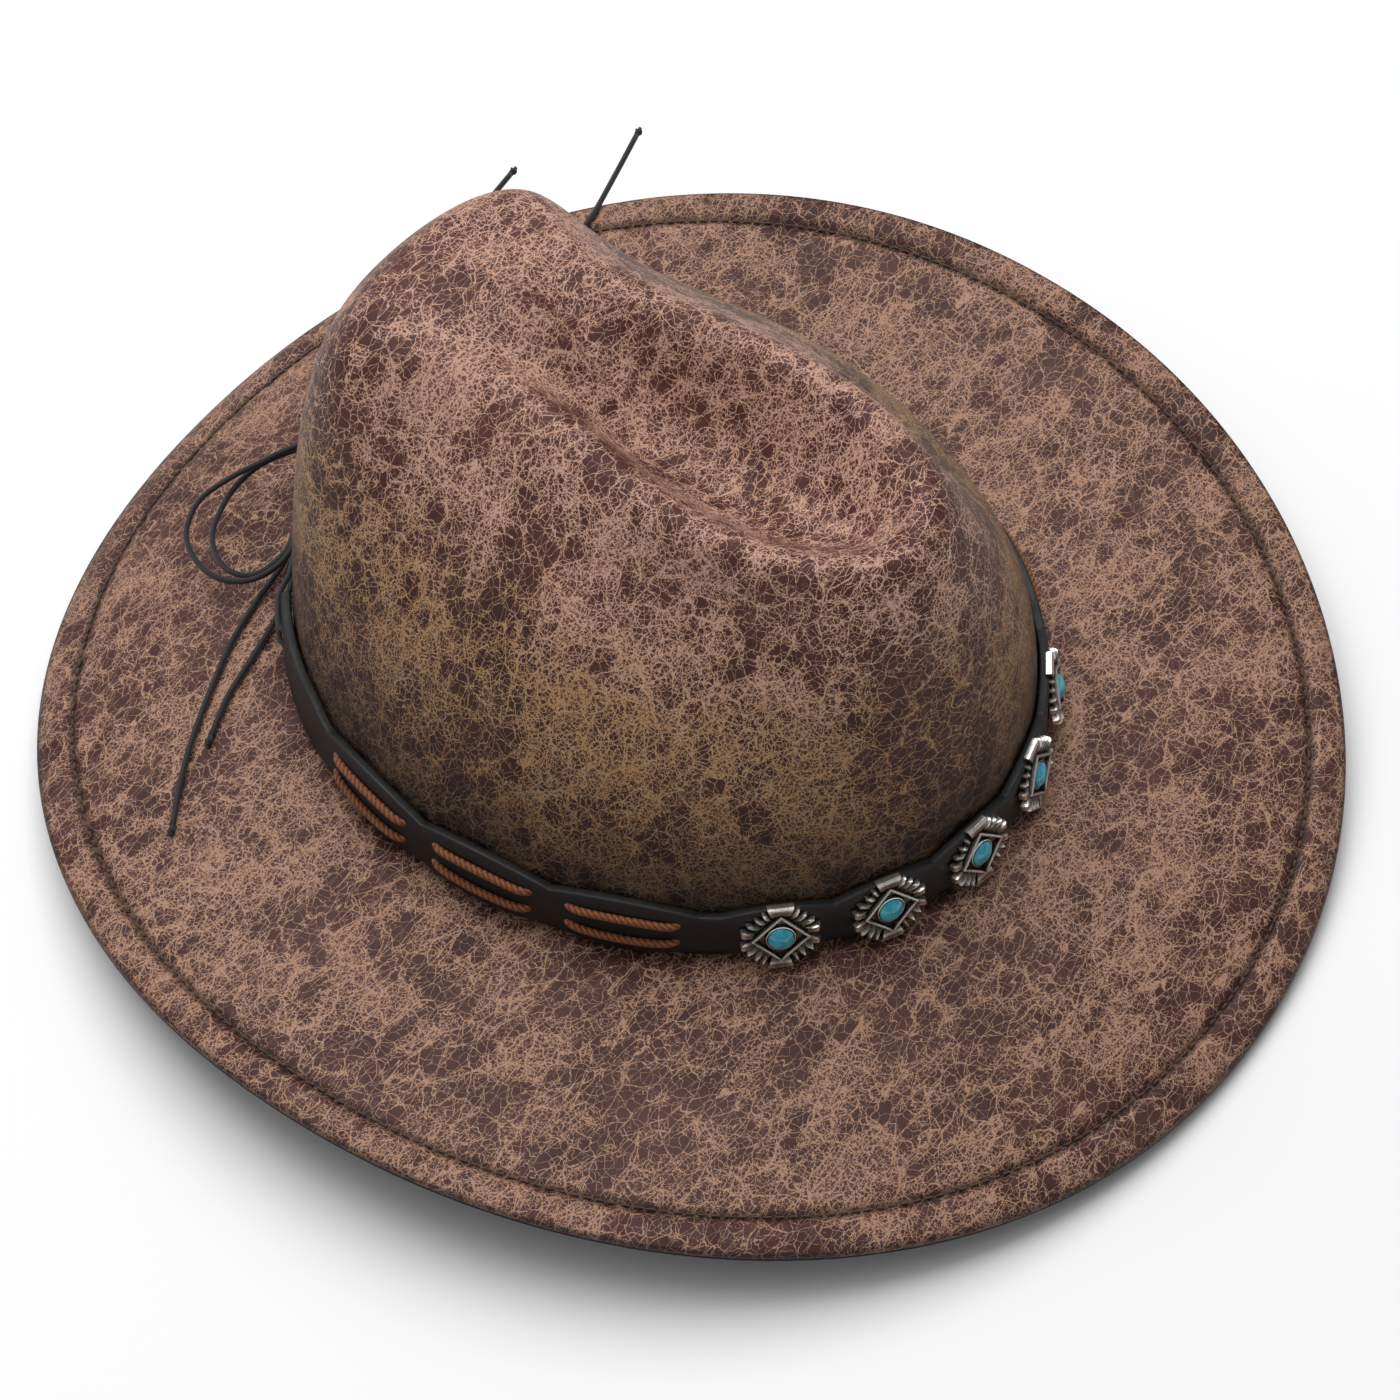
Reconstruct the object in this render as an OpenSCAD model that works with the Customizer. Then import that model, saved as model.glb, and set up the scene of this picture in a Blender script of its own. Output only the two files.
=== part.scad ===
// Western hat in stiff faux leather: pinch-front crown with a long crease, a wide brim that
// dips at the front and the back, and a tied leather hatband with silver and turquoise conchos.
// +Z is up, -Y is the front of the hat and -X is the wearer's right.
// The origin is under the middle of the brim, level with its lowest point.
// Crown and brim surfaces are free curves worked out by the functions below.

/* [Crown] */
// length of the crown's foot ahead of its widest place
crown_front = 104; // [90:0.5:120]
// length of the crown's foot behind its widest place
crown_back = 98.5; // [85:0.5:120]
// width of the crown at its foot
crown_width = 176; // [150:1:210]
// height of the rim round the crease, at the front
rim_height_front = 102; // [80:1:130]
// how much higher the rim is at the back
rim_rise_back = 4; // [0:1:15]
// length of the rim at the top of the crown
top_length = 160; // [120:1:190]
// half width of the rim at the front
top_half_front = 34; // [20:1:50]
// extra half width of the rim at the back
top_half_gain = 34; // [0:1:40]
// how far the rim is drawn in at its waist
rim_waist = 11; // [0:1:18]
// height of the bottom of the crease, at the front
crease_height = 82; // [60:1:110]
// how much the bottom of the crease climbs towards the back
crease_climb = 27; // [0:1:30]
// depth of the two front dents
pinch_depth = 17; // [0:1:25]
// depth of the hollow along each side behind them
side_hollow = 9; // [0:1:15]
// thickness of the crown's outer shell
shell_wall = 2; // [1:0.1:4]
// thickness of the lining
lining_wall = 0.5; // [0.3:0.1:1.5]

/* [Brim] */
// length of the brim, front to back
brim_length = 346; // [280:1:420]
// width of the brim
brim_width = 330; // [270:1:400]
// how far the crown stands behind the middle of the brim
crown_back_shift = 10.5; // [0:0.5:25]
// mean fall from the crown to the brim's edge
edge_fall = 9; // [0:1:25]
// how much lower the front and back of the edge are than the mean
front_dip = 13; // [0:1:30]
// how much higher the wearer's left side is than the mean
left_lift = 5; // [0:1:15]
// sideways twist of the dips
edge_twist = 4; // [0:1:10]
// thickness of the brim's upper skin
brim_skin = 0.9; // [0.5:0.1:2]
// thickness of the stiff core
core_wall = 1.3; // [0.8:0.1:3]
// thickness of the fabric underside
under_wall = 0.7; // [0.4:0.1:2]
// diameter of the steel wire in the hem
wire_d = 1.2; // [0.8:0.1:2]
// distance from the edge to the line of hem stitches
hem_width = 10; // [6:0.5:20]

/* [Sweatband] */
// height of the sweatband
sweat_height = 33; // [20:1:45]
// thickness of the sweatband
sweat_wall = 1.2; // [0.8:0.1:2.5]

/* [Hatband] */
// width of the strap at a concho
strap_wide = 17.5; // [12:0.5:25]
// width of the strap at its narrow places
strap_narrow = 12.5; // [8:0.5:18]
// thickness of the strap
strap_wall = 2.6; // [1.5:0.1:4]
// height of the strap's middle above the crown's foot
strap_mid = 11.5; // [9:0.5:16]
// running clearance between the strap and the crown
strap_gap = 0.45; // [0.3:0.05:1.5]
// length of the strap; tie strands close the rest of the way round
strap_length = 472; // [430:1:560]
// size of a concho, across and up
concho_size = 20; // [14:0.5:26]
// distance between concho centres along the strap
concho_pitch = 27.8; // [22:0.2:36]
// how far the middle concho is to the wearer's right of the front
concho_offset = 8; // [0:1:15]
// diameter of the round turquoise stone
stone_d = 6.5; // [4:0.5:10]
// diameter of the rivet behind a concho
rivet_d = 3.6; // [2:0.2:5]
// thickness of a lace
lace_d = 2.2; // [1.2:0.1:3]
// length of one laced run
lace_run = 28; // [18:1:34]
// distance between the middles of laced panels
panel_pitch = 38; // [34:1:46]

/* [Tie cord] */
// diameter of the waxed tie cord
tie_d = 1.6; // [1:0.1:3]
// diameter of the knot at each tail's end
tip_d = 2.6; // [2:0.2:5]
// distance between the two strands that leave each end of the strap
strand_spread = 6; // [4:0.5:9]

/* [Hidden] */

leather_brown = "#7a5547";
leather_black = "#15110f";
fabric_dark = "#242124";
thread_brown = "#4d2c17";
lace_orange = "#8c4a1e";
silver = "#a9a7a1";
turquoise = "#2f9fb0";
cord_black = "#120f0e";

hair = 0.1;            // glue line between layers
lip = 0.9;             // thickness of the skin where it folds over the edge
around = 52;           // steps round the hat
up_rows = 17;          // rows from the crown's foot to the crease
brim_skin_total = brim_skin + core_wall + under_wall + 2 * hair;
half_w = crown_width / 2;
crown_y = crown_back_shift;
step = 360 / around;

// ---------- small maths ----------
function lerp(a, b, k) = a + (b - a) * k;
function ramp(x, a, b) = let (u = min(max((x - a) / (b - a), 0), 1)) u * u * (3 - 2 * u);
function unit(v) = v / norm(v);
// signed angle from the front, -180 to 180
function wrap(t) = t > 180 ? t - 360 : t;
// radius factor of a superellipse
function squarish(t, n) = pow(pow(abs(sin(t)), n) + pow(abs(cos(t)), n), -1 / n);
// point of a clamped uniform cubic B-spline, x from 0 to len(c) - 3
function spline(c, x) =
    let (m = len(c) - 3, i = min(floor(x), m - 1), f = x - i)
    c[i] * pow(1 - f, 3) / 6 + c[i + 1] * (3 * pow(f, 3) - 6 * f * f + 4) / 6
    + c[i + 2] * (-3 * pow(f, 3) + 3 * f * f + 3 * f + 1) / 6 + c[i + 3] * pow(f, 3) / 6;

// ---------- brim edge ----------
// height of the edge against the crown's foot, t from the front towards +X
function edge_z(t) = -edge_fall - front_dip * cos(2 * t) + left_lift * sin(t) - edge_twist * sin(2 * t);
edge_low = min([for (t = [0:1:359]) edge_z(t)]);
foot_z = brim_skin_total - edge_low;
function edge_xy(t) = let (q = squarish(t, 2.07))
    [brim_width / 2 * sin(t) * q, -brim_length / 2 * cos(t) * q];
// half length of the foot's oval, which is rounder at the back
function foot_half(t) = cos(t) > 0 ? crown_front : crown_back;
function foot_xy(t) = [half_w * sin(t), crown_y - foot_half(t) * cos(t)];

// ---------- crown surface ----------
// control points of the crown's section at angle t, from the foot up over the rim to the crease
function section(t) =
    let (
        w = wrap(t),
        back = 0.5 - 0.5 * cos(t),
        backw = ramp(back, 0.6, 1),
        half = top_half_front + top_half_gain * ramp(back, 0.72, 1),
        waist = sign(w) * rim_waist * exp(-pow((abs(w) - 102) / 28, 2)),
        q = squarish(t, 2.3),
        foot = [half_w * sin(t), -foot_half(t) * cos(t)],
        rim = [half * sin(t) * q - waist, -(top_length / 2 - back) * cos(t) * q + back],
        rim_z = rim_height_front + rim_rise_back * back,
        along = -(top_length / 2 - 30) * cos(t),
        spine = [2 * sin(t), along],
        spine_z = crease_height + crease_climb * ramp(along, -5, 44) + 5 * ramp(-along, 25, 50),
        dent = pinch_depth * exp(-pow((abs(w) - 60) / 24, 2))
            + side_hollow * exp(-pow((abs(w) - 108) / 30, 2)),
        inward = [-sin(t), cos(t)],
        a = lerp(foot, rim, 0.07),
        b = lerp(foot, rim, 0.24 - 0.07 * backw) + inward * dent * 0.38,
        c = lerp(foot, rim, 0.56 - 0.06 * backw) + inward * dent,
        d = lerp(foot, rim, 0.93),
        e = lerp(rim, spine, 0.18),
        f = lerp(rim, spine, 0.62),
        pts = [
            [foot.x, foot.y, 0],
            [foot.x * 0.998, foot.y * 0.998, rim_z * 0.115],
            [a.x, a.y, rim_z * 0.33],
            [b.x, b.y, rim_z * 0.605],
            [c.x, c.y, rim_z * 0.86],
            [d.x, d.y, rim_z + 2 - 6 * backw],
            [e.x, e.y, rim_z + 4],
            [f.x, f.y, lerp(rim_z, spine_z, 0.7)],
            [spine.x, spine.y, spine_z],
            [0, spine.y, spine_z]
        ],
        first = pts[0],
        last = pts[9]
    )
    concat([first, first], pts, [last, last]);
function place(p) = [p.x, p.y + crown_y, p.z + foot_z];
// rows climb evenly to the side of the crease, and the last row is its bottom
crease_side = 8.6;
row_places = concat([for (i = [0:up_rows - 1]) crease_side * i / (up_rows - 1)], [11]);
skin = [for (j = [0:around - 1]) let (c = section(j * step))
    [for (x = row_places) place(spline(c, x))]];
// outward normal at step j, row i; level at the foot
function face_normal(j, i) =
    let (
        k = min(i, up_rows - 1),
        p = skin[(j + 1) % around][k] - skin[(j + around - 1) % around][k],
        q = skin[j][min(k + 1, up_rows)] - skin[j][max(k - 1, 0)],
        n = unit(cross(p, q)),
        level = i == 0 ? 0 : 1
    )
    i == up_rows ? [0, 0, 1] : unit([n.x, n.y, n.z * level]);
normals = [for (j = [0:around - 1]) [for (i = [0:up_rows]) face_normal(j, i)]];
// the crown's surface moved inwards by depth
function inset(depth) =
    [for (j = [0:around - 1]) [for (i = [0:up_rows]) skin[j][i] - normals[j][i] * depth]];
// level outward direction of the foot's oval
function foot_normal(t) = unit([foot_half(t) * sin(t), -half_w * cos(t), 0]);
// a point of the outer surface at angle t and height h over the foot, moved out by gap
function wall_point(t, h, gap) =
    let (
        c = section(t),
        x = wall_x(c, h, 0, 5, 14),
        p = spline(c, x),
        up = spline(c, x + 0.05) - spline(c, max(x - 0.05, 0)),
        n = foot_normal(t),
        rise = unit(up),
        out = unit(n - rise * (n * rise))
    )
    place(p + out * gap);
// spline parameter where the section reaches height h, by halving
function wall_x(c, h, lo, hi, n) =
    let (mid = (lo + hi) / 2)
    n == 0 ? mid : spline(c, mid).z < h ? wall_x(c, h, mid, hi, n - 1) : wall_x(c, h, lo, mid, n - 1);

// ---------- solids from rows of points ----------
// two triangles on four corners, cut along the shorter diagonal so that neighbours match
function cut_quad(p, a, b, c, d) = norm(p[a] - p[c]) <= norm(p[b] - p[d])
    ? [[a, b, c], [a, c, d]] : [[a, b, d], [b, c, d]];
// closed ring: rows[j] is one closed section, and the last row joins the first
module ring(rows) {
    n = len(rows);
    m = len(rows[0]);
    points = [for (r = rows) each r];
    faces = [for (j = [0:n - 1]) for (k = [0:m - 1])
        let (
            a = j * m + k,
            b = ((j + 1) % n) * m + k,
            c = ((j + 1) % n) * m + (k + 1) % m,
            d = j * m + (k + 1) % m
        )
        each cut_quad(points, a, b, c, d)];
    polyhedron(points = points, faces = faces, convexity = 10);
}
// open bar: as ring, with flat ends
module bar(rows) {
    n = len(rows);
    m = len(rows[0]);
    sides = [for (j = [0:n - 2]) for (k = [0:m - 1])
        let (
            a = j * m + k,
            b = (j + 1) * m + k,
            c = (j + 1) * m + (k + 1) % m,
            d = j * m + (k + 1) % m
        )
        each [[a, b, c], [a, c, d]]];
    start = [for (k = [0:m - 1]) k];
    end = [for (k = [m - 1:-1:0]) (n - 1) * m + k];
    polyhedron(points = [for (r = rows) each r], faces = concat(sides, [start, end]), convexity = 10);
}
// the crease's end takes its neighbours on both sides
function crease_end(k, half) = k == 1 ? 0 : k == half - 1 ? half : k;
// domed wall between two grids that close along the crease; open at the foot
module dome(outer, inner) {
    n = around;
    m = up_rows + 1;
    base = n * m;
    shut = function (j, i, o) o + (i == up_rows ? crease_end(min(j % n, n - j % n), n / 2) : j % n) * m + i;
    walls = [for (o = [0, base]) for (j = [0:n - 1]) for (i = [0:up_rows - 1])
        let (
            a = shut(j, i, o),
            b = shut(j + 1, i, o),
            c = shut(j + 1, i + 1, o),
            d = shut(j, i + 1, o),
            pair = o == 0 ? [[a, c, b], [a, d, c]] : [[a, b, c], [a, c, d]]
        )
        each [for (f = pair) if (f[0] != f[1] && f[1] != f[2] && f[0] != f[2]) f]];
    foot = [for (j = [0:n - 1])
        let (
            a = shut(j, 0, 0),
            b = shut(j + 1, 0, 0),
            c = shut(j + 1, 0, base),
            d = shut(j, 0, base)
        )
        each [[a, b, c], [a, c, d]]];
    polyhedron(
        points = concat([for (r = outer) each r], [for (r = inner) each r]),
        faces = concat(walls, foot), convexity = 10);
}
// tube of round section along a smooth line through the points
module tube(points, d, sides, per) {
    line = smooth(points, per);
    frames = turned(line);
    bar([for (i = [0:len(line) - 1]) [for (k = [0:sides - 1])
        line[i] + (frames[i][0] * cos(-k * 360 / sides) + frames[i][1] * sin(-k * 360 / sides)) * d / 2]]);
}
// Catmull-Rom line through the points, per steps in each span
function smooth(p, per) =
    let (n = len(p) - 1)
    concat([for (i = [0:n - 1]) for (k = [0:per - 1])
        let (
            a = i == 0 ? 2 * p[0] - p[1] : p[i - 1],
            b = p[i],
            c = p[i + 1],
            d = i == n - 1 ? 2 * p[n] - p[n - 1] : p[i + 2],
            u = k / per
        )
        0.5 * (2 * b + (c - a) * u + (2 * a - 5 * b + 4 * c - d) * u * u
            + (3 * b - a - 3 * c + d) * u * u * u)], [p[n]]);
function heading(line, i) = unit(line[min(i + 1, len(line) - 1)] - line[max(i - 1, 0)]);
// two directions across the line at each point, carried along without twist
function turned(line) = [for (i = 0,
        f = across(heading(line, 0), abs(heading(line, 0).z) > 0.9 ? [1, 0, 0] : [0, 0, 1]);
        i < len(line);
        i = i + 1,
        f = i < len(line) ? across(heading(line, i), f[0]) : f) f];
function across(way, hint) = let (a = unit(hint - way * (hint * way))) [a, cross(way, a)];

// ---------- crown ----------
module crown_shell() {
    color(leather_brown) dome(skin, inset(shell_wall));
}
module crown_lining() {
    color(fabric_dark) dome(inset(shell_wall + hair), inset(shell_wall + hair + lining_wall));
}

// ---------- brim ----------
seam_depth = shell_wall + hair + lining_wall + hair;
inner_foot = inset(seam_depth);
// places across the brim, 0 at the crown and 1 at the edge
function brim_stations(t) = let (run = norm(edge_xy(t) - foot_xy(t)))
    [0.14, 0.32, 0.52, 0.72, 0.86, 1 - hem_width / run];
// point of the brim's upper face at place u, drop below it
function brim_point(t, u, drop) =
    let (p = lerp(foot_xy(t), edge_xy(t), u))
    [p.x, p.y, foot_z + edge_z(t) * pow(u, 2.2) - drop];
function brim_root(j, drop) = let (p = inner_foot[j][0]) [p.x, p.y, foot_z - drop];
// one face of a layer, from the root out to last
function brim_row(j, last, drop) =
    let (t = j * step)
    concat([brim_root(j, drop), brim_point(t, 0, drop)],
        [for (u = brim_stations(t)) brim_point(t, u, drop)], [brim_point(t, last, drop)]);
function back_from_edge(t, d) = 1 - d / norm(edge_xy(t) - foot_xy(t));
function reversed(v) = [for (i = [len(v) - 1:-1:0]) v[i]];
fold_drop = brim_skin + core_wall;
module brim_top() {
    color(leather_brown) ring([for (j = [0:around - 1])
        let (t = j * step, inside = back_from_edge(t, lip))
        concat(brim_row(j, 1, 0),
            [brim_point(t, 1, fold_drop), brim_point(t, inside, fold_drop)],
            reversed(brim_row(j, inside, brim_skin)))]);
}
module brim_core() {
    top = brim_skin + hair;
    color(fabric_dark) ring([for (j = [0:around - 1])
        let (t = j * step, last = back_from_edge(t, lip + wire_d + 3 * hair))
        concat(brim_row(j, last, top), reversed(brim_row(j, last, top + core_wall)))]);
}
module brim_underside() {
    top = brim_skin + core_wall + 2 * hair;
    color(fabric_dark) ring([for (j = [0:around - 1])
        concat(brim_row(j, 1, top), reversed(brim_row(j, 1, top + under_wall)))]);
}
// a thin round ring at distance d from the edge and drop below the upper face
module edge_ring(d, drop, thick, sides) {
    ring([for (j = [0:around - 1])
        let (
            t = j * step,
            c = brim_point(t, back_from_edge(t, d), drop),
            out = unit([edge_xy(t).x - foot_xy(t).x, edge_xy(t).y - foot_xy(t).y, 0])
        )
        [for (k = [0:sides - 1]) c + (out * cos(-k * 360 / sides) + [0, 0, 1] * sin(-k * 360 / sides))
            * thick / 2]]);
}
module brim_wire() {
    color("silver") edge_ring(lip + hair + wire_d / 2, brim_skin + hair + wire_d / 2, wire_d, 8);
}
module hem_stitches() {
    thread = 0.7;
    color(thread_brown) edge_ring(hem_width, -thread / 2 - 0.15, thread, 6);
}

// ---------- sweatband ----------
sweat_depth = seam_depth + hair;
sweat_rows = round(up_rows * (sweat_height / rim_height_front) * 0.42) + 1;
module sweatband() {
    outer = inset(sweat_depth);
    inner = inset(sweat_depth + sweat_wall);
    hem_drop = [0, 0, brim_skin_total];
    color(leather_black) ring([for (j = [0:around - 1]) concat(
        [outer[j][0] - hem_drop], [for (i = [0:sweat_rows]) outer[j][i]],
        [for (i = [sweat_rows:-1:0]) inner[j][i]], [inner[j][0] - hem_drop])]);
}
module sweatband_stitches() {
    thread = 0.7;
    inner = inset(sweat_depth + sweat_wall + thread / 2 + hair);
    color(thread_brown) ring([for (j = [0:around - 1])
        let (c = inner[j][0] + [0, 0, 1], out = [normals[j][0].x, normals[j][0].y, 0])
        [for (k = [0:5]) c + (out * cos(-k * 60) + [0, 0, 1] * sin(-k * 60)) * thread / 2]]);
}

// ---------- hatband ----------
// length along the strap for each angle, counted from the front
strap_reach = strap_gap + strap_wall / 2;
function strap_rate(t) =
    norm([(half_w + strap_reach) * cos(t), (foot_half(t) + strap_reach) * sin(t)]) * PI / 180;
arc = [for (t = 0, s = 0; t <= 180; s = s + strap_rate(t + 0.5), t = t + 1) [s, t]];
function angle_at(s) = sign(s) * lookup(abs(s), arc);
function length_at(t) = sign(t) * lookup(abs(t), [for (p = arc) [p[1], p[0]]]);
back_reach = length_at(180);
// 1 at the middle of a concho or panel and 0 between them
function swell(x, pitch) = pow(abs(cos(180 * x / pitch)), 0.8);
concho_reach = 2.5 * concho_pitch;
panel_start = concho_reach + 6;
panel_reach = 3 * panel_pitch;
// half width of the strap at length x from the middle concho
function strap_half(x) =
    let (
        a = abs(x),
        bulge = a < concho_reach ? swell(x, concho_pitch)
            : a < panel_start ? 0
            : a < panel_start + panel_reach ? swell(a - panel_start - panel_pitch / 2, panel_pitch)
            : 0.85 * ramp(a, panel_start + panel_reach, panel_start + panel_reach + 12)
    )
    lerp(strap_narrow, strap_wide, bulge) / 2;
strap_steps = 132;
module strap_blank() {
    bar([for (i = [0:strap_steps])
        let (
            s = lerp(-strap_length / 2, strap_length / 2, i / strap_steps) - concho_offset,
            t = angle_at(s),
            h = strap_half(s + concho_offset),
            lo = strap_mid - h,
            hi = strap_mid + h
        )
        [wall_point(t, lo, strap_gap), wall_point(t, lo, strap_gap + strap_wall),
            wall_point(t, hi, strap_gap + strap_wall), wall_point(t, hi, strap_gap)]]);
}
module hatband_strap() {
    color(leather_black) difference() {
        strap_blank();
        for (k = [-2:2]) on_strap(k * concho_pitch - concho_offset)
            rotate([90, 0, 0]) cylinder(h = 12, d = rivet_d + 0.1, center = true, $fn = 32);
    }
}
// puts what faces -Y at the origin on the strap's outer face, at length s from the front
module on_strap(s) {
    t = angle_at(s);
    p = wall_point(t, strap_mid, strap_gap + strap_wall);
    up = wall_point(t, strap_mid + 4, strap_gap) - wall_point(t, strap_mid - 4, strap_gap);
    lean = atan2(norm([up.x, up.y]), up.z);
    translate(p) rotate([0, 0, atan2(foot_half(t) * sin(t), half_w * cos(t))]) rotate([-lean, 0, 0])
        children();
}

// stepped sunburst outline in the first quadrant, from the right round to the top
plate_thick = 1.8;
function ray_tip(k) = let (r = concho_size / 2) [
    [r * 0.72, 0], [r, r * 0.14], [r, r * 0.30], [r * 0.80, r * 0.30],
    [r * 0.86, r * 0.50], [r * 0.62, r * 0.47], [r * 0.66, r * 0.70], [r * 0.46, r * 0.64],
    [r * 0.48, r * 0.86], [r * 0.30, r * 0.80], [r * 0.34, r], [0, r]][k];
function sunburst() =
    let (q = [for (k = [0:11]) ray_tip(k)])
    concat(q, [for (k = [10:-1:0]) [-q[k].x, q[k].y]],
        [for (k = [1:11]) [-q[k].x, -q[k].y]], [for (k = [10:-1:1]) [q[k].x, -q[k].y]]);
frame_half = 6.6;
frame_wall = 1.5;
frame_rise = 1.1;
function diamond(r) = [[r, 0], [0, r], [-r, 0], [0, -r]];
module concho() {
    color(silver) rotate([90, 0, 0]) difference() {
        union() {
            linear_extrude(plate_thick) polygon(sunburst());
            translate([0, 0, plate_thick]) linear_extrude(frame_rise) difference() {
                polygon(diamond(frame_half * 1.1));
                polygon(diamond(frame_half * 1.1 - frame_wall));
            }
            for (m = [0, 1]) for (n = [0, 1]) mirror([m, 0, 0]) mirror([0, n, 0])
                for (k = [4, 6, 8])
                    translate([0, 0, plate_thick]) rib(ray_tip(k) * 0.94, ray_tip(k) * 0.72);
        }
        translate([0, 0, plate_thick - 0.6]) cylinder(h = 5, d = stone_d + 0.2, $fn = 48);
        translate([0, 0, -1]) cylinder(h = 1.8, d = rivet_d + 0.1, $fn = 32);
    }
}
// a raised bar between two points of the plate
module rib(a, b) {
    d = b - a;
    translate([a.x, a.y, -0.1]) rotate([0, 0, atan2(d.y, d.x)])
        translate([0, -0.45, 0]) cube([norm(d), 0.9, 0.6]);
}
module concho_at(k) {
    on_strap((k - 3) * concho_pitch - concho_offset) translate([0, -0.15, 0]) concho();
}
// domed round stone set in the concho's seat
module turquoise_at(k) {
    dome_r = stone_d * 0.62;
    on_strap((k - 3) * concho_pitch - concho_offset) translate([0, -0.15, 0])
        color(turquoise) rotate([90, 0, 0]) translate([0, 0, plate_thick - 0.55]) intersection() {
            cylinder(h = 3.4, d = stone_d, $fn = 48);
            translate([0, 0, 3.2 - stone_d * 0.8]) sphere(d = stone_d * 1.6, $fn = 48);
        }
}
module concho_rivets() {
    color(silver) for (k = [-2:2]) on_strap(k * concho_pitch - concho_offset)
        rotate([90, 0, 0]) translate([0, 0, -strap_wall + 0.2])
            cylinder(h = strap_wall + 0.6, d = rivet_d, $fn = 32);
}
// two laced rows in each of three panels on one side: side is -1 for the wearer's right
lace_spread = 6;
module lacing(side) {
    color(lace_orange) for (p = [0:2]) for (v = [-1, 1]) {
        mid = panel_start + (p + 0.5) * panel_pitch;
        bar([for (i = [0:8])
            let (
                s = side * (mid + lerp(-lace_run / 2, lace_run / 2, i / 8)) - concho_offset,
                t = angle_at(s),
                bow = 0.6 * cos(180 * (i / 8 - 0.5)),
                c = wall_point(t, strap_mid + v * (lace_spread / 2 + bow),
                    strap_gap + strap_wall + lace_d / 2 + hair),
                out = foot_normal(t),
                turn = -side
            )
            [for (k = [0:5]) c + (out * cos(turn * k * 60) + [0, 0, 1] * sin(turn * k * 60)) * lace_d / 2]]);
    }
}
module lace_right() {
    lacing(-1);
}
module lace_left() {
    lacing(1);
}

// ---------- tie cord ----------
// two strands leave eyelets near each end of the strap and follow the crown to the knot
module strands(side) {
    on_leather = 9;
    steps = 20;
    strap_end = strap_length / 2 - side * concho_offset;
    color(cord_black) for (v = [-1, 1]) bar([for (i = [0:steps])
        let (
            s = lerp(strap_end - on_leather, back_reach - 1.5, i / steps),
            t = angle_at(side * s),
            lift = lerp(strap_wall + hair, 0, ramp(s, strap_end + 1, strap_end + 13)),
            near = ramp(s, back_reach - 25, back_reach - 2),
            h = strap_mid + v * lerp(strand_spread / 2, 1.2, near),
            c = wall_point(t, h, strap_gap + lift + tie_d / 2),
            out = foot_normal(t)
        )
        [for (k = [0:7]) c + (out * cos(side * k * 45) - [0, 0, 1] * sin(side * k * 45)) * tie_d / 2]]);
}
module strands_right() {
    strands(-1);
}
module strands_left() {
    strands(1);
}
// the knot stands off the crown at the middle of the back
knot_half = tie_d * 2.125;
module bow_knot() {
    c = wall_point(180, strap_mid, strap_gap + knot_half);
    color(cord_black) translate(c) sphere(r = knot_half, $fn = 32);
}
// where the cords lie, one list of points for each
loop_right_outer_path = [[-1.5, 115.2, 40], [-6, 121, 40.5], [-12.5, 125.5, 39.5], [-20.5, 129, 38.7],
    [-28, 132, 38], [-38, 134, 37.2], [-47, 131, 36.2], [-52, 125.5, 35.6], [-54.5, 117.5, 35.2],
    [-53, 110.3, 35.2], [-47.5, 105, 35.7], [-37.7, 103.6, 36.6], [-26, 108.2, 37.8], [-14, 112.6, 39],
    [-2.7, 113.9, 39.4]];
loop_right_inner_path = [[-1, 115.6, 37.2], [-5, 121.5, 37.2], [-12, 127, 36.4], [-19, 130, 35.8],
    [-26, 131, 34.8], [-33, 130.2, 33.7], [-41.5, 127, 32.7], [-46.5, 122, 32.2], [-49, 115.6, 32.2],
    [-47.5, 109.6, 32.7], [-43, 106.6, 33.6], [-35, 106.2, 34.6], [-24, 110, 35.6], [-13, 113.4, 36.6],
    [-2.9, 114.2, 37.4]];
loop_left_outer_path = [[1.5, 115.2, 40], [6, 121, 40.5], [13, 125.5, 39.8], [21, 129, 39], [30, 131, 38],
    [39, 129, 37], [44.5, 123, 36.2], [45.5, 115.5, 36], [42, 109.5, 36.3], [34, 107.3, 37],
    [24, 109.6, 38], [13, 112.8, 39], [2.7, 113.9, 39.4]];
loop_left_inner_path = [[1.2, 115.7, 37.7], [5, 121.5, 37.2], [12, 126, 36.2], [20, 128.4, 35],
    [28, 128.4, 33.8], [35, 125, 32.8], [38.5, 119.5, 32.4], [37, 114, 32.8], [31, 111.2, 33.8],
    [22, 111.8, 35.2], [12, 113.8, 36.6], [2.9, 114.2, 37.4]];
tail_right_long_path = [[-1, 114.6, 35.6], [-5, 117, 33], [-12, 118, 30.8], [-20, 115.4, 29.6],
    [-28, 111.2, 29.2], [-35.5, 107.4, 29], [-42.5, 106, 28.4], [-50, 105, 27.8], [-63.5, 101.8, 27.4],
    [-76, 97.2, 26.9], [-86.5, 92.9, 26.4], [-96, 88.6, 25.9], [-106.3, 83, 25.3], [-117, 76.3, 24.7]];
tail_right_short_path = [[-2.2, 113.4, 36], [-6, 113, 33.4], [-13, 111.2, 31.6], [-23, 108.4, 30.8],
    [-33, 104.4, 30.4], [-43.3, 99.4, 29.6], [-52.5, 96.6, 28.4], [-66.4, 93.3, 27.8], [-78.5, 90.6, 27.3],
    [-90.6, 86, 26.7]];
tail_left_long_path = [[1.9, 114.2, 35.9], [5, 117.4, 33], [12, 119.2, 30], [22, 120, 28], [36, 120.3, 27.4],
    [54, 120, 27], [72, 119, 26.6], [90, 118.6, 26.8], [104, 119, 27.1], [113.5, 120, 27.5],
    [128, 123.8, 27.9], [145, 128.4, 28.9]];
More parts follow.
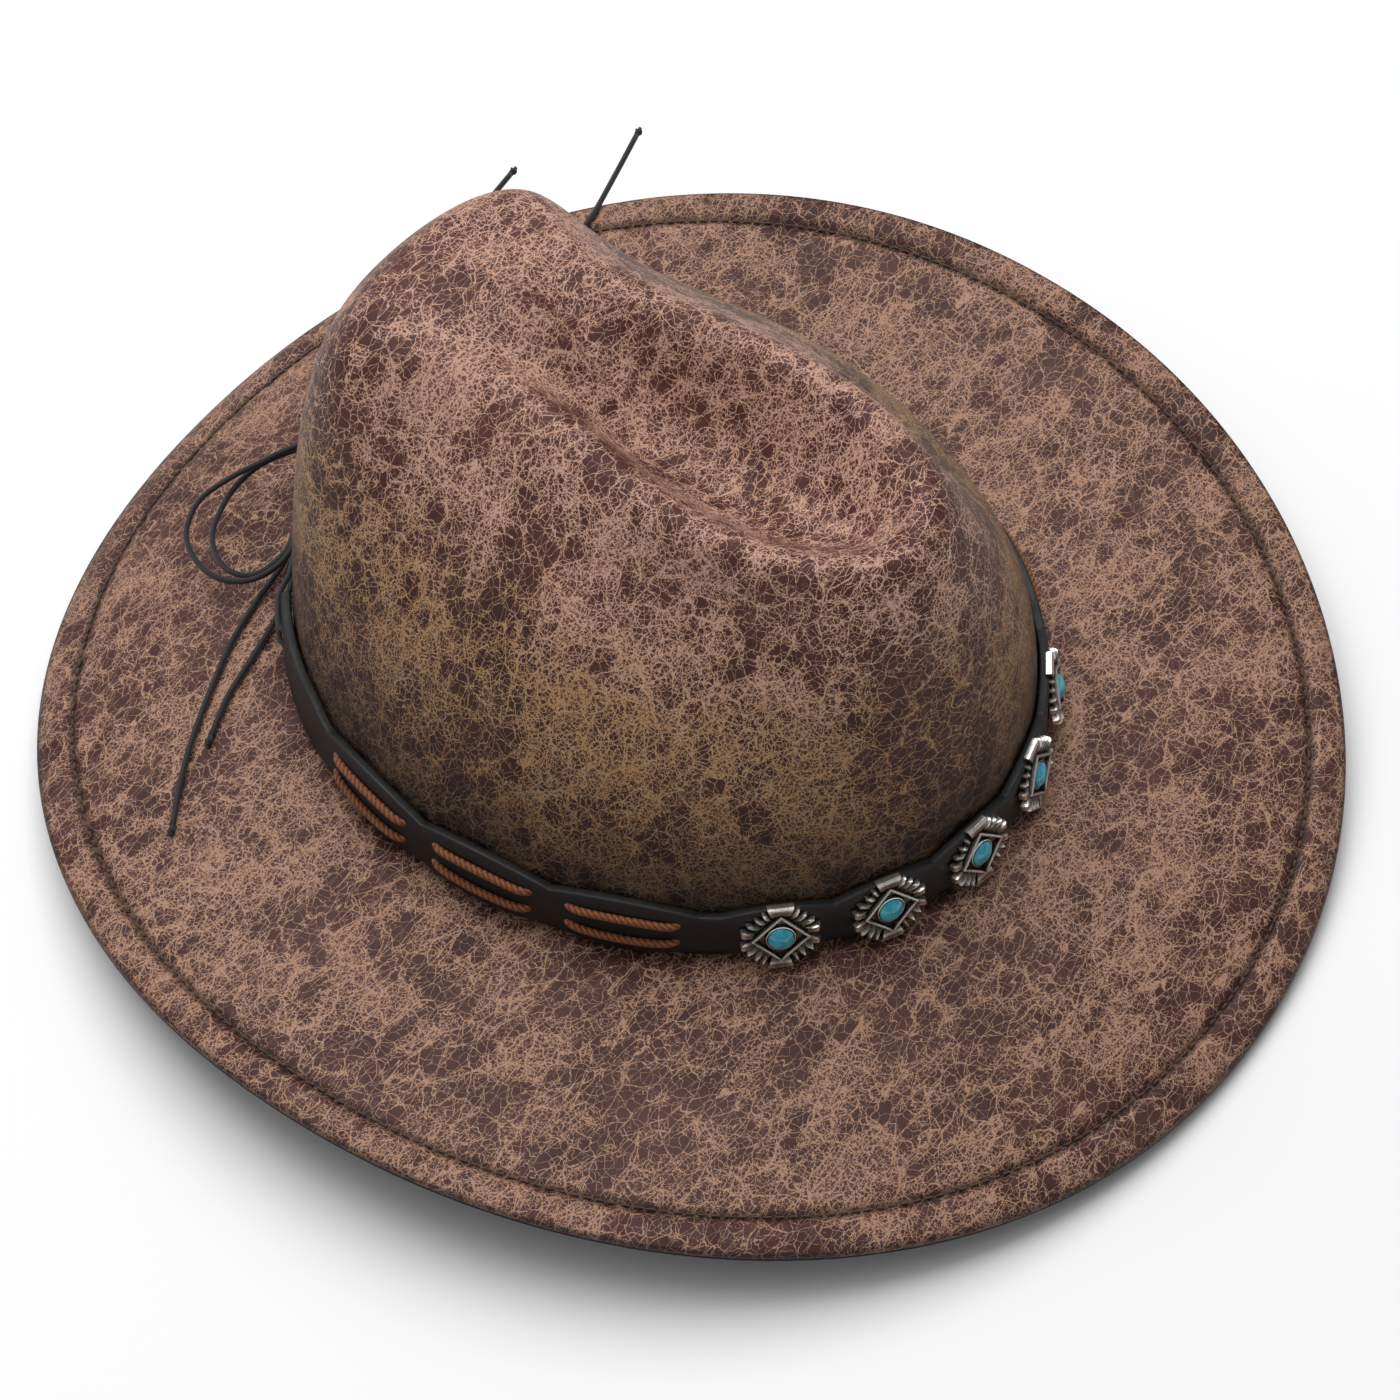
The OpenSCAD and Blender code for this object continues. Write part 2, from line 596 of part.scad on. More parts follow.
tail_left_short_path = [[0.35, 115.2, 36.35], [3, 119.6, 33.4], [9, 124.2, 29.6], [19, 128.6, 27.2],
    [33, 134, 25.5], [50, 139.5, 23.6], [68, 144, 21.6], [86, 148, 20], [98, 150.3, 20],
    [108, 151.9, 20.2], [117.5, 153, 20.4]];
span_steps = 2;
module cord(points) {
    color(cord_black) tube(points, tie_d, 8, span_steps);
}
// a small knot just past the end of a tail
module tip(points) {
    n = len(points) - 1;
    way = unit(points[n] - points[n - 1]);
    color(cord_black) translate(points[n] + way * tip_d / 2) sphere(d = tip_d, $fn = 24);
}

crown_shell();
crown_lining();
brim_top();
brim_core();
brim_underside();
brim_wire();
hem_stitches();
sweatband();
sweatband_stitches();
hatband_strap();
lace_right();
lace_left();
for (k = [1:5]) {
    concho_at(k);
    turquoise_at(k);
}
concho_rivets();
strands_right();
strands_left();
bow_knot();
cord(loop_right_outer_path);  // loop_right_outer
cord(loop_right_inner_path);  // loop_right_inner
cord(loop_left_outer_path);  // loop_left_outer
cord(loop_left_inner_path);  // loop_left_inner
cord(tail_right_long_path);  // tail_right_long
cord(tail_right_short_path);  // tail_right_short
cord(tail_left_long_path);  // tail_left_long
cord(tail_left_short_path);  // tail_left_short
tip(tail_right_long_path);  // tip_right_long
tip(tail_right_short_path);  // tip_right_short
tip(tail_left_long_path);  // tip_left_long
tip(tail_left_short_path);  // tip_left_short
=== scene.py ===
# %% [markdown]
# # A western hat in distressed faux leather
# The hat has a pinch-front crown, a wide brim that dips at the front and the back, and a black
# leather hatband with five silver and turquoise conchos, laced panels, and a thin cord that is
# tied in a double bow behind. Each cell below makes one piece or one finish.
# The hat's front faces -Y, the wearer's right is -X, and +Z is up. Shapes are worked out in
# millimetres and turned to metres when they become a mesh.

# %% Frame and helpers
import math
import bmesh
import bpy
import numpy as np
from mathutils import Matrix, Vector


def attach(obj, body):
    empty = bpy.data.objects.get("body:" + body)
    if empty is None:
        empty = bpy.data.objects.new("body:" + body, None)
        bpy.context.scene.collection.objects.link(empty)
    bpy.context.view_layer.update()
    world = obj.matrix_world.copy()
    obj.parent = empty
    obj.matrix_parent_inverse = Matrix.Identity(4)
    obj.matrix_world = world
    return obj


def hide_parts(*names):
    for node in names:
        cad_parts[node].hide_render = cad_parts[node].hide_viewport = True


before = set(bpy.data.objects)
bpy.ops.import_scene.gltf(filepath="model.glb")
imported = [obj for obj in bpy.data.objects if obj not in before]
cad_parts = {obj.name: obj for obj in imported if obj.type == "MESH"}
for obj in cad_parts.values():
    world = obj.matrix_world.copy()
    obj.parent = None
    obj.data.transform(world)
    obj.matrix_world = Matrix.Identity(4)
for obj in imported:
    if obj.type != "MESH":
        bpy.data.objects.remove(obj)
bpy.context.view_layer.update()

MM = 0.001
rng = np.random.default_rng(7)


def grid_quads(rows, columns):
    """Four corner numbers for every cell of a rows by columns grid of points."""
    k = np.arange(rows * columns).reshape(rows, columns)
    return np.stack([k[:-1, :-1], k[1:, :-1], k[1:, 1:], k[:-1, 1:]], -1).reshape(-1, 4)


def outward(grid, quads):
    """Turns the cells over if the volume that they enclose, a sixth of the sum of p.(q x r) over
    the triangles, is negative."""
    p, q, r, s = (grid.reshape(-1, 3)[quads[:, k]] - grid.mean((0, 1)) for k in range(4))
    volume = (p * np.cross(q, r)).sum() + (p * np.cross(r, s)).sum()
    return quads if volume > 0 else quads[:, ::-1]


def solid(name, grids, body, material, uvs=None, sharp=None):
    """One mesh from closed grids of points in mm. Points that meet are welded, which closes seams
    and poles, and the cells of each grid face outwards."""
    points = np.concatenate([g.reshape(-1, 3) for g in grids]) * MM
    starts = np.cumsum([0] + [g.shape[0] * g.shape[1] for g in grids[:-1]])
    quads = np.concatenate([outward(g, grid_quads(*g.shape[:2])) + start
                            for g, start in zip(grids, starts)])
    mesh = bpy.data.meshes.new(name)
    mesh.from_pydata(points, [], quads)
    if uvs is not None:
        flat = np.concatenate([u.reshape(-1, 2) for u in uvs])
        mesh.uv_layers.new(name="UVMap").data.foreach_set("uv", flat[quads.ravel()].ravel())
    bm = bmesh.new()
    bm.from_mesh(mesh)
    bmesh.ops.remove_doubles(bm, verts=bm.verts, dist=2e-7)
    volume = bm.calc_volume(signed=True)
    bm.to_mesh(mesh)
    open_edges = sum(len(e.link_faces) != 2 for e in bm.edges)
    bm.free()
    mesh.shade_smooth()
    if sharp is not None:
        mesh.set_sharp_from_angle(angle=math.radians(sharp))
    piece = bpy.data.objects.new(name, mesh)
    bpy.context.collection.objects.link(piece)
    mesh.materials.append(material)
    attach(piece, body)
    print(f"{name}: {len(mesh.polygons)} faces, {volume * 1e9:.0f} mm3, {open_edges} open edges")
    return piece


def ramp(x, a, b):
    """0 below a, 1 above b, and an S-curve between them."""
    u = np.clip((x - a) / (b - a), 0, 1)
    return u * u * (3 - 2 * u)


def unit(v):
    return v / np.linalg.norm(v, axis=-1, keepdims=True)


# %% [markdown]
# ## Nodes for the finishes
# Every finish is built from a few shader nodes, so one helper adds a node, sets its inputs and
# links what feeds it. Colours are written as sRGB hex, as on a colour card, and turned to the
# linear values that the shader works in.

# %% Material helpers
def linear(hex_colour):
    """sRGB hex to linear light: the toe is divided by 12.92, the rest raised to 2.4."""
    c = np.array([int(hex_colour[i:i + 2], 16) for i in (1, 3, 5)]) / 255
    rgb = np.where(c <= 0.04045, c / 12.92, ((c + 0.055) / 1.055) ** 2.4)
    return (*[float(v) for v in rgb], 1.0)


def add(tree, kind, settings=None, **inputs):
    """Adds a node. settings are its own properties; inputs are values, or sockets to link."""
    node = tree.nodes.new(kind)
    for key, value in (settings or {}).items():
        setattr(node, key, value)
    for key, value in inputs.items():
        place = int(key[1:]) if key[0] == "i" and key[1:].isdigit() else key.replace("_", " ")
        socket = node.inputs[place]
        if isinstance(value, bpy.types.NodeSocket):
            tree.links.new(value, socket)
        else:
            socket.default_value = value
    return node


def maths(tree, operation, a, b=0.0, c=0.0, clamp=False):
    kind = {"operation": operation, "use_clamp": clamp}
    return add(tree, "ShaderNodeMath", kind, i0=a, i1=b, i2=c).outputs[0]


def between(tree, value, low, high, out_low=0.0, out_high=1.0):
    """Smooth step of value from low to high, sent to out_low and out_high."""
    node = add(tree, "ShaderNodeMapRange", {"interpolation_type": "SMOOTHSTEP"},
               Value=value, From_Min=low, From_Max=high, To_Min=out_low, To_Max=out_high)
    return node.outputs[0]


def mix_colour(tree, factor, a, b, blend="MIX"):
    node = add(tree, "ShaderNodeMix", {"data_type": "RGBA", "blend_type": blend}, i0=factor)
    for socket, value in ((node.inputs[6], a), (node.inputs[7], b)):
        if isinstance(value, bpy.types.NodeSocket):
            tree.links.new(value, socket)
        else:
            socket.default_value = value
    return node.outputs[2]


def finish_of(name):
    """A new material with its node tree, its shader and its Object coordinates in mm."""
    material = bpy.data.materials.new(name)
    material.use_nodes = True
    tree = material.node_tree
    shader = tree.nodes["Principled BSDF"]
    where = add(tree, "ShaderNodeTexCoord").outputs["Object"]
    in_mm = add(tree, "ShaderNodeVectorMath", {"operation": "SCALE"}, i0=where, Scale=1000.0)
    return material, tree, shader, in_mm.outputs[0]


def bump(tree, shader, height, depth_mm):
    """Raises the surface by height times depth_mm."""
    node = add(tree, "ShaderNodeBump", Height=height, Distance=depth_mm * MM, Strength=1.0)
    tree.links.new(node.outputs[0], shader.inputs["Normal"])


def noise(tree, vector, period, detail=2.0, rough=0.5, distortion=0.0):
    """Cloudy noise whose lumps are about period mm across; the output is near 0.5."""
    return add(tree, "ShaderNodeTexNoise", Vector=vector, Scale=1.0 / period, Detail=detail,
               Roughness=rough, Distortion=distortion)


# %% [markdown]
# ## Distressed faux leather
# The skin is PU film on a knitted backing. The film is embossed, dyed dark maroon, then rubbed
# with a tan wax that stays in every crack and on every fold, so the eye sees a web of fine tan
# lines that crowds into pale clouds and opens into dark islands. Cells of a Voronoi pattern have
# just such edges. Webs of four sizes, from 1.2 to 7 mm, are bent by noise, and slow clouds decide
# how thick each web's lines are. The pebbled relief is a noise of its own, because a bump reads
# its height three times over and the webs are slow.

# %% Faux leather
def bent(tree, where, cell, bend, stretch=(1, 1, 1), turn=0.0):
    """Place turned, stretched, and shifted by noise of about the cell's size times bend."""
    turned = add(tree, "ShaderNodeMapping", Vector=where, Rotation=(turn, turn * 0.7, turn * 1.9),
                 Scale=stretch).outputs[0]
    wander = noise(tree, turned, cell * 1.6, 2.0, 0.6).outputs["Color"]
    return add(tree, "ShaderNodeVectorMath", {"operation": "MULTIPLY_ADD"},
               i0=wander, i1=(bend * cell,) * 3, i2=turned).outputs[0]


def web(tree, place, cell, lines):
    """Web of cracks: distance to the edges of cells of size cell mm, drawn where it is less than
    lines, a fraction of the cell."""
    edge = add(tree, "ShaderNodeTexVoronoi", {"feature": "DISTANCE_TO_EDGE"},
               Vector=place, Scale=1.0 / cell).outputs["Distance"]
    return maths(tree, "SUBTRACT", 1.0, maths(tree, "DIVIDE", edge, lines, clamp=True))


def strongest(tree, *parts):
    total = parts[0]
    for part in parts[1:]:
        total = maths(tree, "MAXIMUM", total, part)
    return total


hem_inset = 10.0


def faux_leather(name, dark, dark_painted_lit, tan, tan_painted_lit, more, gold, painted_foot_shade, hem=False):
    """dark and tan are the film and the wax low down; the second and fourth colours are paler ones
    for high up on the rim, painted light on the crown's top. more shifts how much wax shows, gold how
    yellow it is, and the number after gold how dark the painted shade at the foot is. With hem, v of
    the UV map is the distance from the edge in mm; the groove of the hem stitches gets painted shade,
    and the folded edge is made darker."""
    material, tree, shader, where = finish_of(name)
    cloud = noise(tree, where, 36.0, 4.0, 0.62, 0.7).outputs[0]
    patch = noise(tree, where, 12.0, 3.0, 0.62, 1.0).outputs[0]
    wide = bent(tree, where, 7.0, 1.1, (0.8, 1.15, 1.0), 1.3)
    cells = add(tree, "ShaderNodeTexVoronoi", {"feature": "F1"}, Vector=wide, Scale=1 / 7.0)
    lot = add(tree, "ShaderNodeSeparateXYZ", Vector=cells.outputs["Color"]).outputs[0]
    island = maths(tree, "MULTIPLY", between(tree, lot, 0.42, 0.62),
                   between(tree, cells.outputs["Distance"], 0.62, 0.3))
    much = maths(tree, "ADD", maths(tree, "MULTIPLY", between(tree, cloud, 0.40, 0.62), 0.62),
                 maths(tree, "MULTIPLY_ADD", between(tree, patch, 0.38, 0.64), 0.6, more))
    much = maths(tree, "MULTIPLY_ADD", island, -0.42, much)
    much = maths(tree, "MAXIMUM", much, 0.04)
    small = bent(tree, where, 1.2, 1.2)
    medium = bent(tree, where, 3.0, 1.2, turn=0.5)
    slant = bent(tree, where, 4.6, 1.0, (0.3, 1.15, 1.0), 0.9)
    fine = web(tree, small, 1.2, maths(tree, "MULTIPLY_ADD", much, 0.095, 0.02))
    middle = web(tree, medium, 3.0, maths(tree, "MULTIPLY_ADD", much, 0.045, 0.024))
    slanted = web(tree, slant, 4.6, maths(tree, "MULTIPLY_ADD", much, 0.04, 0.014))
    large = web(tree, wide, 7.0, maths(tree, "MULTIPLY_ADD", much, 0.03, 0.017))
    grain = noise(tree, where, 0.5, 2.0, 0.7).outputs[0]
    lines = strongest(tree, maths(tree, "MULTIPLY", fine, between(tree, much, 0.08, 0.6)),
                      maths(tree, "MULTIPLY", middle, 0.9), maths(tree, "MULTIPLY", slanted, 0.85),
                      maths(tree, "MULTIPLY", large, 0.9))
    broken = maths(tree, "MULTIPLY", lines, between(tree, grain, 0.3, 0.6, 0.3, 1.2), clamp=True)
    film = maths(tree, "MULTIPLY", between(tree, much, 0.5, 1.3), between(tree, grain, 0.38, 0.6))
    wax = strongest(tree, between(tree, broken, 0.12, 0.7), maths(tree, "MULTIPLY", film, 0.3))
    height = add(tree, "ShaderNodeSeparateXYZ", Vector=where).outputs[2]
    # painted light: high up the crown, the film and the wax take paler, pinker colours that stand in
    # for the light on its top
    wavy = maths(tree, "MULTIPLY_ADD", cloud, 40.0, maths(tree, "SUBTRACT", height, 20.0))
    top = between(tree, wavy, 92.0, 118.0)
    stain = noise(tree, where, 19.0, 3.0, 0.6).outputs[0]
    dye_painted_lit = mix_colour(tree, top, linear(dark), linear(dark_painted_lit))
    dyed_painted_lit = mix_colour(tree, between(tree, stain, 0.3, 0.7), dye_painted_lit,
                      mix_colour(tree, 1.0, dye_painted_lit, (0.6, 0.48, 0.5, 1), "MULTIPLY"))
    yellow = between(tree, patch, 0.4, 0.75, 0.0, gold)
    wax_low = mix_colour(tree, yellow, linear(tan), linear("#ab7f4e"))
    wax_painted_lit = mix_colour(tree, top, wax_low, linear(tan_painted_lit))
    colour = mix_colour(tree, maths(tree, "MULTIPLY", wax, 0.9), dyed_painted_lit, wax_painted_lit)
    # painted shade: the colour darkens towards the foot of the crown, down to the given tone, with
    # noise in how high it reaches
    uneven = maths(tree, "MULTIPLY_ADD", stain, 22.0, height)
    painted_shade_tone = between(tree, uneven, 46.0, 98.0, painted_foot_shade, 1.0)
    if hem:
        edge_map = add(tree, "ShaderNodeUVMap").outputs[0]
        inset = add(tree, "ShaderNodeSeparateXYZ", Vector=edge_map).outputs[1]
        # painted shade in the groove under the hem stitches; the strip along the folded edge is also
        # made darker
        off = maths(tree, "ABSOLUTE", maths(tree, "SUBTRACT", inset, hem_inset))
        groove_shade_edge_tone = maths(tree, "MULTIPLY", between(tree, off, 0.3, 2.2, 0.36, 1.0),
                     between(tree, inset, 0.4, 1.6, 0.42, 1.0))
        painted_shade_tone = maths(tree, "MULTIPLY", painted_shade_tone, groove_shade_edge_tone)
    shade = add(tree, "ShaderNodeCombineXYZ", i0=painted_shade_tone, i1=painted_shade_tone, i2=painted_shade_tone).outputs[0]
    colour = mix_colour(tree, 1.0, colour, shade, "MULTIPLY")
    tree.links.new(colour, shader.inputs["Base Color"])
    tree.links.new(between(tree, wax, 0.0, 1.0, 0.58, 0.72), shader.inputs["Roughness"])
    shader.inputs["Specular IOR Level"].default_value = 0.3
    bump(tree, shader, noise(tree, where, 1.3, 3.0, 0.7).outputs[0], 0.3)
    return material


# The crown is painted lighter high up and darker at its foot, as painted light and shade; the brim
# has only painted shade in its hem groove and a darker folded edge.
crown_leather = faux_leather("faux_leather_crown", "#40231e", "#55302c", "#b28c69", "#cfa48e",
                             0.06, 0.6, 0.13)
brim_leather = faux_leather("faux_leather_brim", "#50302c", "#50302c", "#b9917a", "#b9917a",
                            0.0, 0.2, 1.0, hem=True)


# %% [markdown]
# ## Small finishes
# The strap is drum-dyed black leather, shiny on its face and greyer where its edge was cut. The
# cord is waxed cotton, the laces are dyed orange-brown leather cord, the silver is cast zinc
# that was plated and left dark in its hollows, and the stones are dyed howlite.

# %% Small finishes
def plain_leather(name, colour, worn, rough, pore):
    """Pebbled leather: pores of pore mm, and a paler tone in slow patches."""
    material, tree, shader, where = finish_of(name)
    patches = noise(tree, where, 9.0, 4.0, 0.6).outputs[0]
    pebble = add(tree, "ShaderNodeTexVoronoi", {"feature": "SMOOTH_F1"}, Vector=where,
                 Scale=1.0 / pore, Smoothness=0.4).outputs["Distance"]
    tone = maths(tree, "MULTIPLY_ADD", pebble, 0.35, between(tree, patches, 0.4, 0.75, 0.0, 0.6))
    tree.links.new(mix_colour(tree, tone, linear(colour), linear(worn)), shader.inputs["Base Color"])
    tree.links.new(between(tree, patches, 0.3, 0.7, rough, rough + 0.14), shader.inputs["Roughness"])
    bump(tree, shader, pebble, 0.05)
    return material


def waxed_cord(name, colour, pale, pitch, plies, depth):
    """Twisted or braided cord: u runs round it and v along it in mm, so slanted bands of plies
    repeat every pitch mm. The colour is darkened in the grooves between the plies as painted shade."""
    material, tree, shader, where = finish_of(name)
    uv = add(tree, "ShaderNodeSeparateXYZ", Vector=add(tree, "ShaderNodeUVMap").outputs[0])
    turn = maths(tree, "MULTIPLY_ADD", uv.outputs[1], 1.0 / pitch, uv.outputs[0])
    strand = maths(tree, "SINE", maths(tree, "MULTIPLY", turn, 2 * math.pi * plies))
    fuzz = noise(tree, where, 0.35, 2.0, 0.6).outputs[0]
    # painted shade: the colour darkens where the ply relief is low, in the grooves between the plies
    tone = maths(tree, "MULTIPLY", between(tree, strand, -0.9, 0.9, 0.2, 1.0),
                 between(tree, fuzz, 0.3, 0.7, 0.4, 1.0))
    tree.links.new(mix_colour(tree, tone, linear(colour), linear(pale)), shader.inputs["Base Color"])
    shader.inputs["Roughness"].default_value = 0.55
    shader.inputs["Sheen Weight"].default_value = 0.15
    bump(tree, shader, maths(tree, "MULTIPLY_ADD", fuzz, 0.6, strand), depth)
    return material


def antique_silver(name, bright, worn, tarnish, rough):
    """Plated casting: bright on its ridges, partly rubbed metal and partly a painted highlight,
    duller on its faces, and dark with tarnish where close walls shade it, with a cast grain."""
    material, tree, shader, where = finish_of(name)
    shade = add(tree, "ShaderNodeAmbientOcclusion", {"samples": 6}, Distance=1.6 * MM).outputs["AO"]
    cast = noise(tree, where, 0.9, 3.0, 0.6).outputs[0]
    open_place = between(tree, maths(tree, "MULTIPLY_ADD", cast, 0.25, shade), 0.5, 1.08)
    # the ridges are made brighter: rubbed metal, and partly a painted highlight on the edges
    ridge = between(tree, add(tree, "ShaderNodeNewGeometry").outputs["Pointiness"], 0.505, 0.56)
    rubbed_and_painted_highlight = mix_colour(tree, ridge, linear(worn), linear(bright))
    tree.links.new(mix_colour(tree, open_place, linear(tarnish), rubbed_and_painted_highlight), shader.inputs["Base Color"])
    tree.links.new(between(tree, open_place, 0.0, 1.0, 0.6, rough), shader.inputs["Roughness"])
    shader.inputs["Metallic"].default_value = 1.0
    bump(tree, shader, cast, 0.04)
    return material


def turquoise_stone(name):
    """Dyed howlite: blue-green with paler clouds and fine brown veins, polished."""
    material, tree, shader, where = finish_of(name)
    clouds = noise(tree, where, 2.6, 3.0, 0.6).outputs[0]
    vein = web(tree, bent(tree, where, 2.4, 1.2), 2.4, 0.05)
    body = mix_colour(tree, between(tree, clouds, 0.35, 0.7), linear("#2290a8"), linear("#4fb9c6"))
    veined = mix_colour(tree, maths(tree, "MULTIPLY", vein, 0.35), body, linear("#1c5560"))
    tree.links.new(veined, shader.inputs["Base Color"])
    shader.inputs["Roughness"].default_value = 0.22
    shader.inputs["Coat Weight"].default_value = 0.3
    shader.inputs["Coat Roughness"].default_value = 0.08
    bump(tree, shader, clouds, 0.03)
    return material


def woven_cloth(name, dark, pale, pitch):
    """Plain-woven lining: warp and weft threads every pitch mm, drawn coarse enough to show."""
    material, tree, shader, where = finish_of(name)
    parts = add(tree, "ShaderNodeSeparateXYZ", Vector=where)
    waves = [maths(tree, "SINE", maths(tree, "MULTIPLY", axis, 2 * math.pi / pitch))
             for axis in (maths(tree, "ADD", parts.outputs[0], parts.outputs[2]), parts.outputs[1])]
    weave = maths(tree, "MULTIPLY", *waves)
    lint = noise(tree, where, 6.0, 4.0, 0.6).outputs[0]
    tone = maths(tree, "MULTIPLY_ADD", weave, 0.3, between(tree, lint, 0.2, 0.8, 0.1, 0.8))
    tree.links.new(mix_colour(tree, tone, linear(dark), linear(pale)), shader.inputs["Base Color"])
    shader.inputs["Roughness"].default_value = 0.85
    shader.inputs["Sheen Weight"].default_value = 0.2
    bump(tree, shader, weave, 0.08)
    return material


strap_leather = plain_leather("drum_dyed_leather", "#0a0808", "#141112", 0.5, 0.9)
sweat_leather = plain_leather("sweatband_leather", "#17120f", "#2a231e", 0.4, 1.1)
tie_finish = waxed_cord("waxed_cotton_cord", "#0c0a0a", "#1d1917", 1.9, 4, 0.05)
lace_finish = waxed_cord("leather_lace", "#4e2409", "#a4581b", 5.0, 3, 0.12)
thread_finish = waxed_cord("sewing_thread", "#3c2114", "#7a4b2a", 1.2, 2, 0.04)
silver_finish = antique_silver("antique_silver", "#efece6", "#857b71", "#1c1714", 0.26)
steel_finish = antique_silver("steel_wire", "#b5b5b5", "#a3a3a3", "#5a5a5a", 0.35)
stone_finish = turquoise_stone("dyed_howlite")
under_cloth = woven_cloth("underside_cloth", "#211f21", "#45414a", 0.9)
lining_cloth = woven_cloth("lining_satin", "#1c1715", "#3a2e28", 0.7)
board_finish = woven_cloth("stiff_board", "#2a2526", "#3b3536", 1.4)

# %% [markdown]
# ## Camera
# A long lens from above the wearer's right front corner keeps the brim's oval nearly free of
# perspective, as catalogue pictures of hats do.

# %% Camera
view_az, view_el = math.radians(-53.0), math.radians(52.8)
distance = 1.1
aim = Vector((-0.0233, -0.0212, 0.0567))
back = Vector((math.sin(view_az) * math.cos(view_el), -math.cos(view_az) * math.cos(view_el),
               math.sin(view_el)))
right = Vector((math.cos(view_az), math.sin(view_az), 0))
lens = bpy.data.cameras.new("camera")
lens.lens = 112.8
lens.sensor_width = 36
lens.clip_start = 0.05
camera = bpy.data.objects.new("camera", lens)
bpy.context.collection.objects.link(camera)
turn = Matrix((right, back.cross(right), back)).transposed().to_4x4()
camera.matrix_world = Matrix.Translation(aim + distance * back) @ turn
bpy.context.scene.camera = camera
print("camera at", [round(v, 4) for v in camera.matrix_world.translation])

# %% [markdown]
# ## Tie cord
# One thin waxed cord, 1.6 mm across, is tied in a double bow. Four loops and four tails leave
# the knot behind the crown; the loops hang in the air only as far as the cord's own stiffness
# holds them, and the tails lie along the brim. A route of points is rounded by a Catmull-Rom
# curve, and a circle is carried along it.

# %% Cord routes
def smooth_line(points, per):
    """Catmull-Rom: each span is the cubic through its two ends whose slopes are half the
    difference of the points on either side."""
    p = np.asarray(points, float)
    p = np.vstack([2 * p[0] - p[1], p, 2 * p[-1] - p[-2]])
    u = (np.arange(per) / per)[None, :, None]
    a, b, c, d = (p[i:len(p) - 3 + i, None] for i in range(4))
    spans = 0.5 * (2 * b + (c - a) * u + (2 * a - 5 * b + 4 * c - d) * u ** 2
                   + (3 * b - a - 3 * c + d) * u ** 3)
    return np.vstack([spans.reshape(-1, 3), p[-2]])


def along(line):
    """Distance from the start at each point of a line."""
    return np.concatenate([[0], np.cumsum(np.linalg.norm(np.diff(line, axis=0), axis=1))])


def tube_grid(line, radius, sides=12, lobes=0, pitch=5.0, depth=0.0, level=(0, 0, 1)):
    """Circle of radius carried along line, closed at both ends by rings of no radius. With lobes,
    the circle has that many rounded plies, which turn once every pitch mm."""
    way = unit(np.gradient(line, axis=0))
    side = unit(np.cross(way, level))
    rise = np.cross(side, way)
    s = along(line)
    angle = np.linspace(0, 2 * np.pi, sides + 1)
    r = np.broadcast_to(radius, s.shape)[:, None] * np.ones(sides + 1)
    if lobes:
        spun = lobes * (angle[None] + 2 * np.pi * s[:, None] / pitch) / 2
        r = r * (1 - depth * (1 - np.abs(np.cos(spun))))
    ring = line[:, None] + r[..., None] * (np.cos(angle)[None, :, None] * side[:, None]
                                           + np.sin(angle)[None, :, None] * rise[:, None])
    ends = [np.repeat(line[i][None, None], sides + 1, 1) for i in (0, -1)]
    grid = np.concatenate([ends[0], ring, ends[1]])
    v = np.concatenate([[s[0]], s, [s[-1]]])
    uv = np.stack(np.broadcast_arrays(angle[None] / (2 * np.pi), v[:, None]), -1)
    return grid, uv


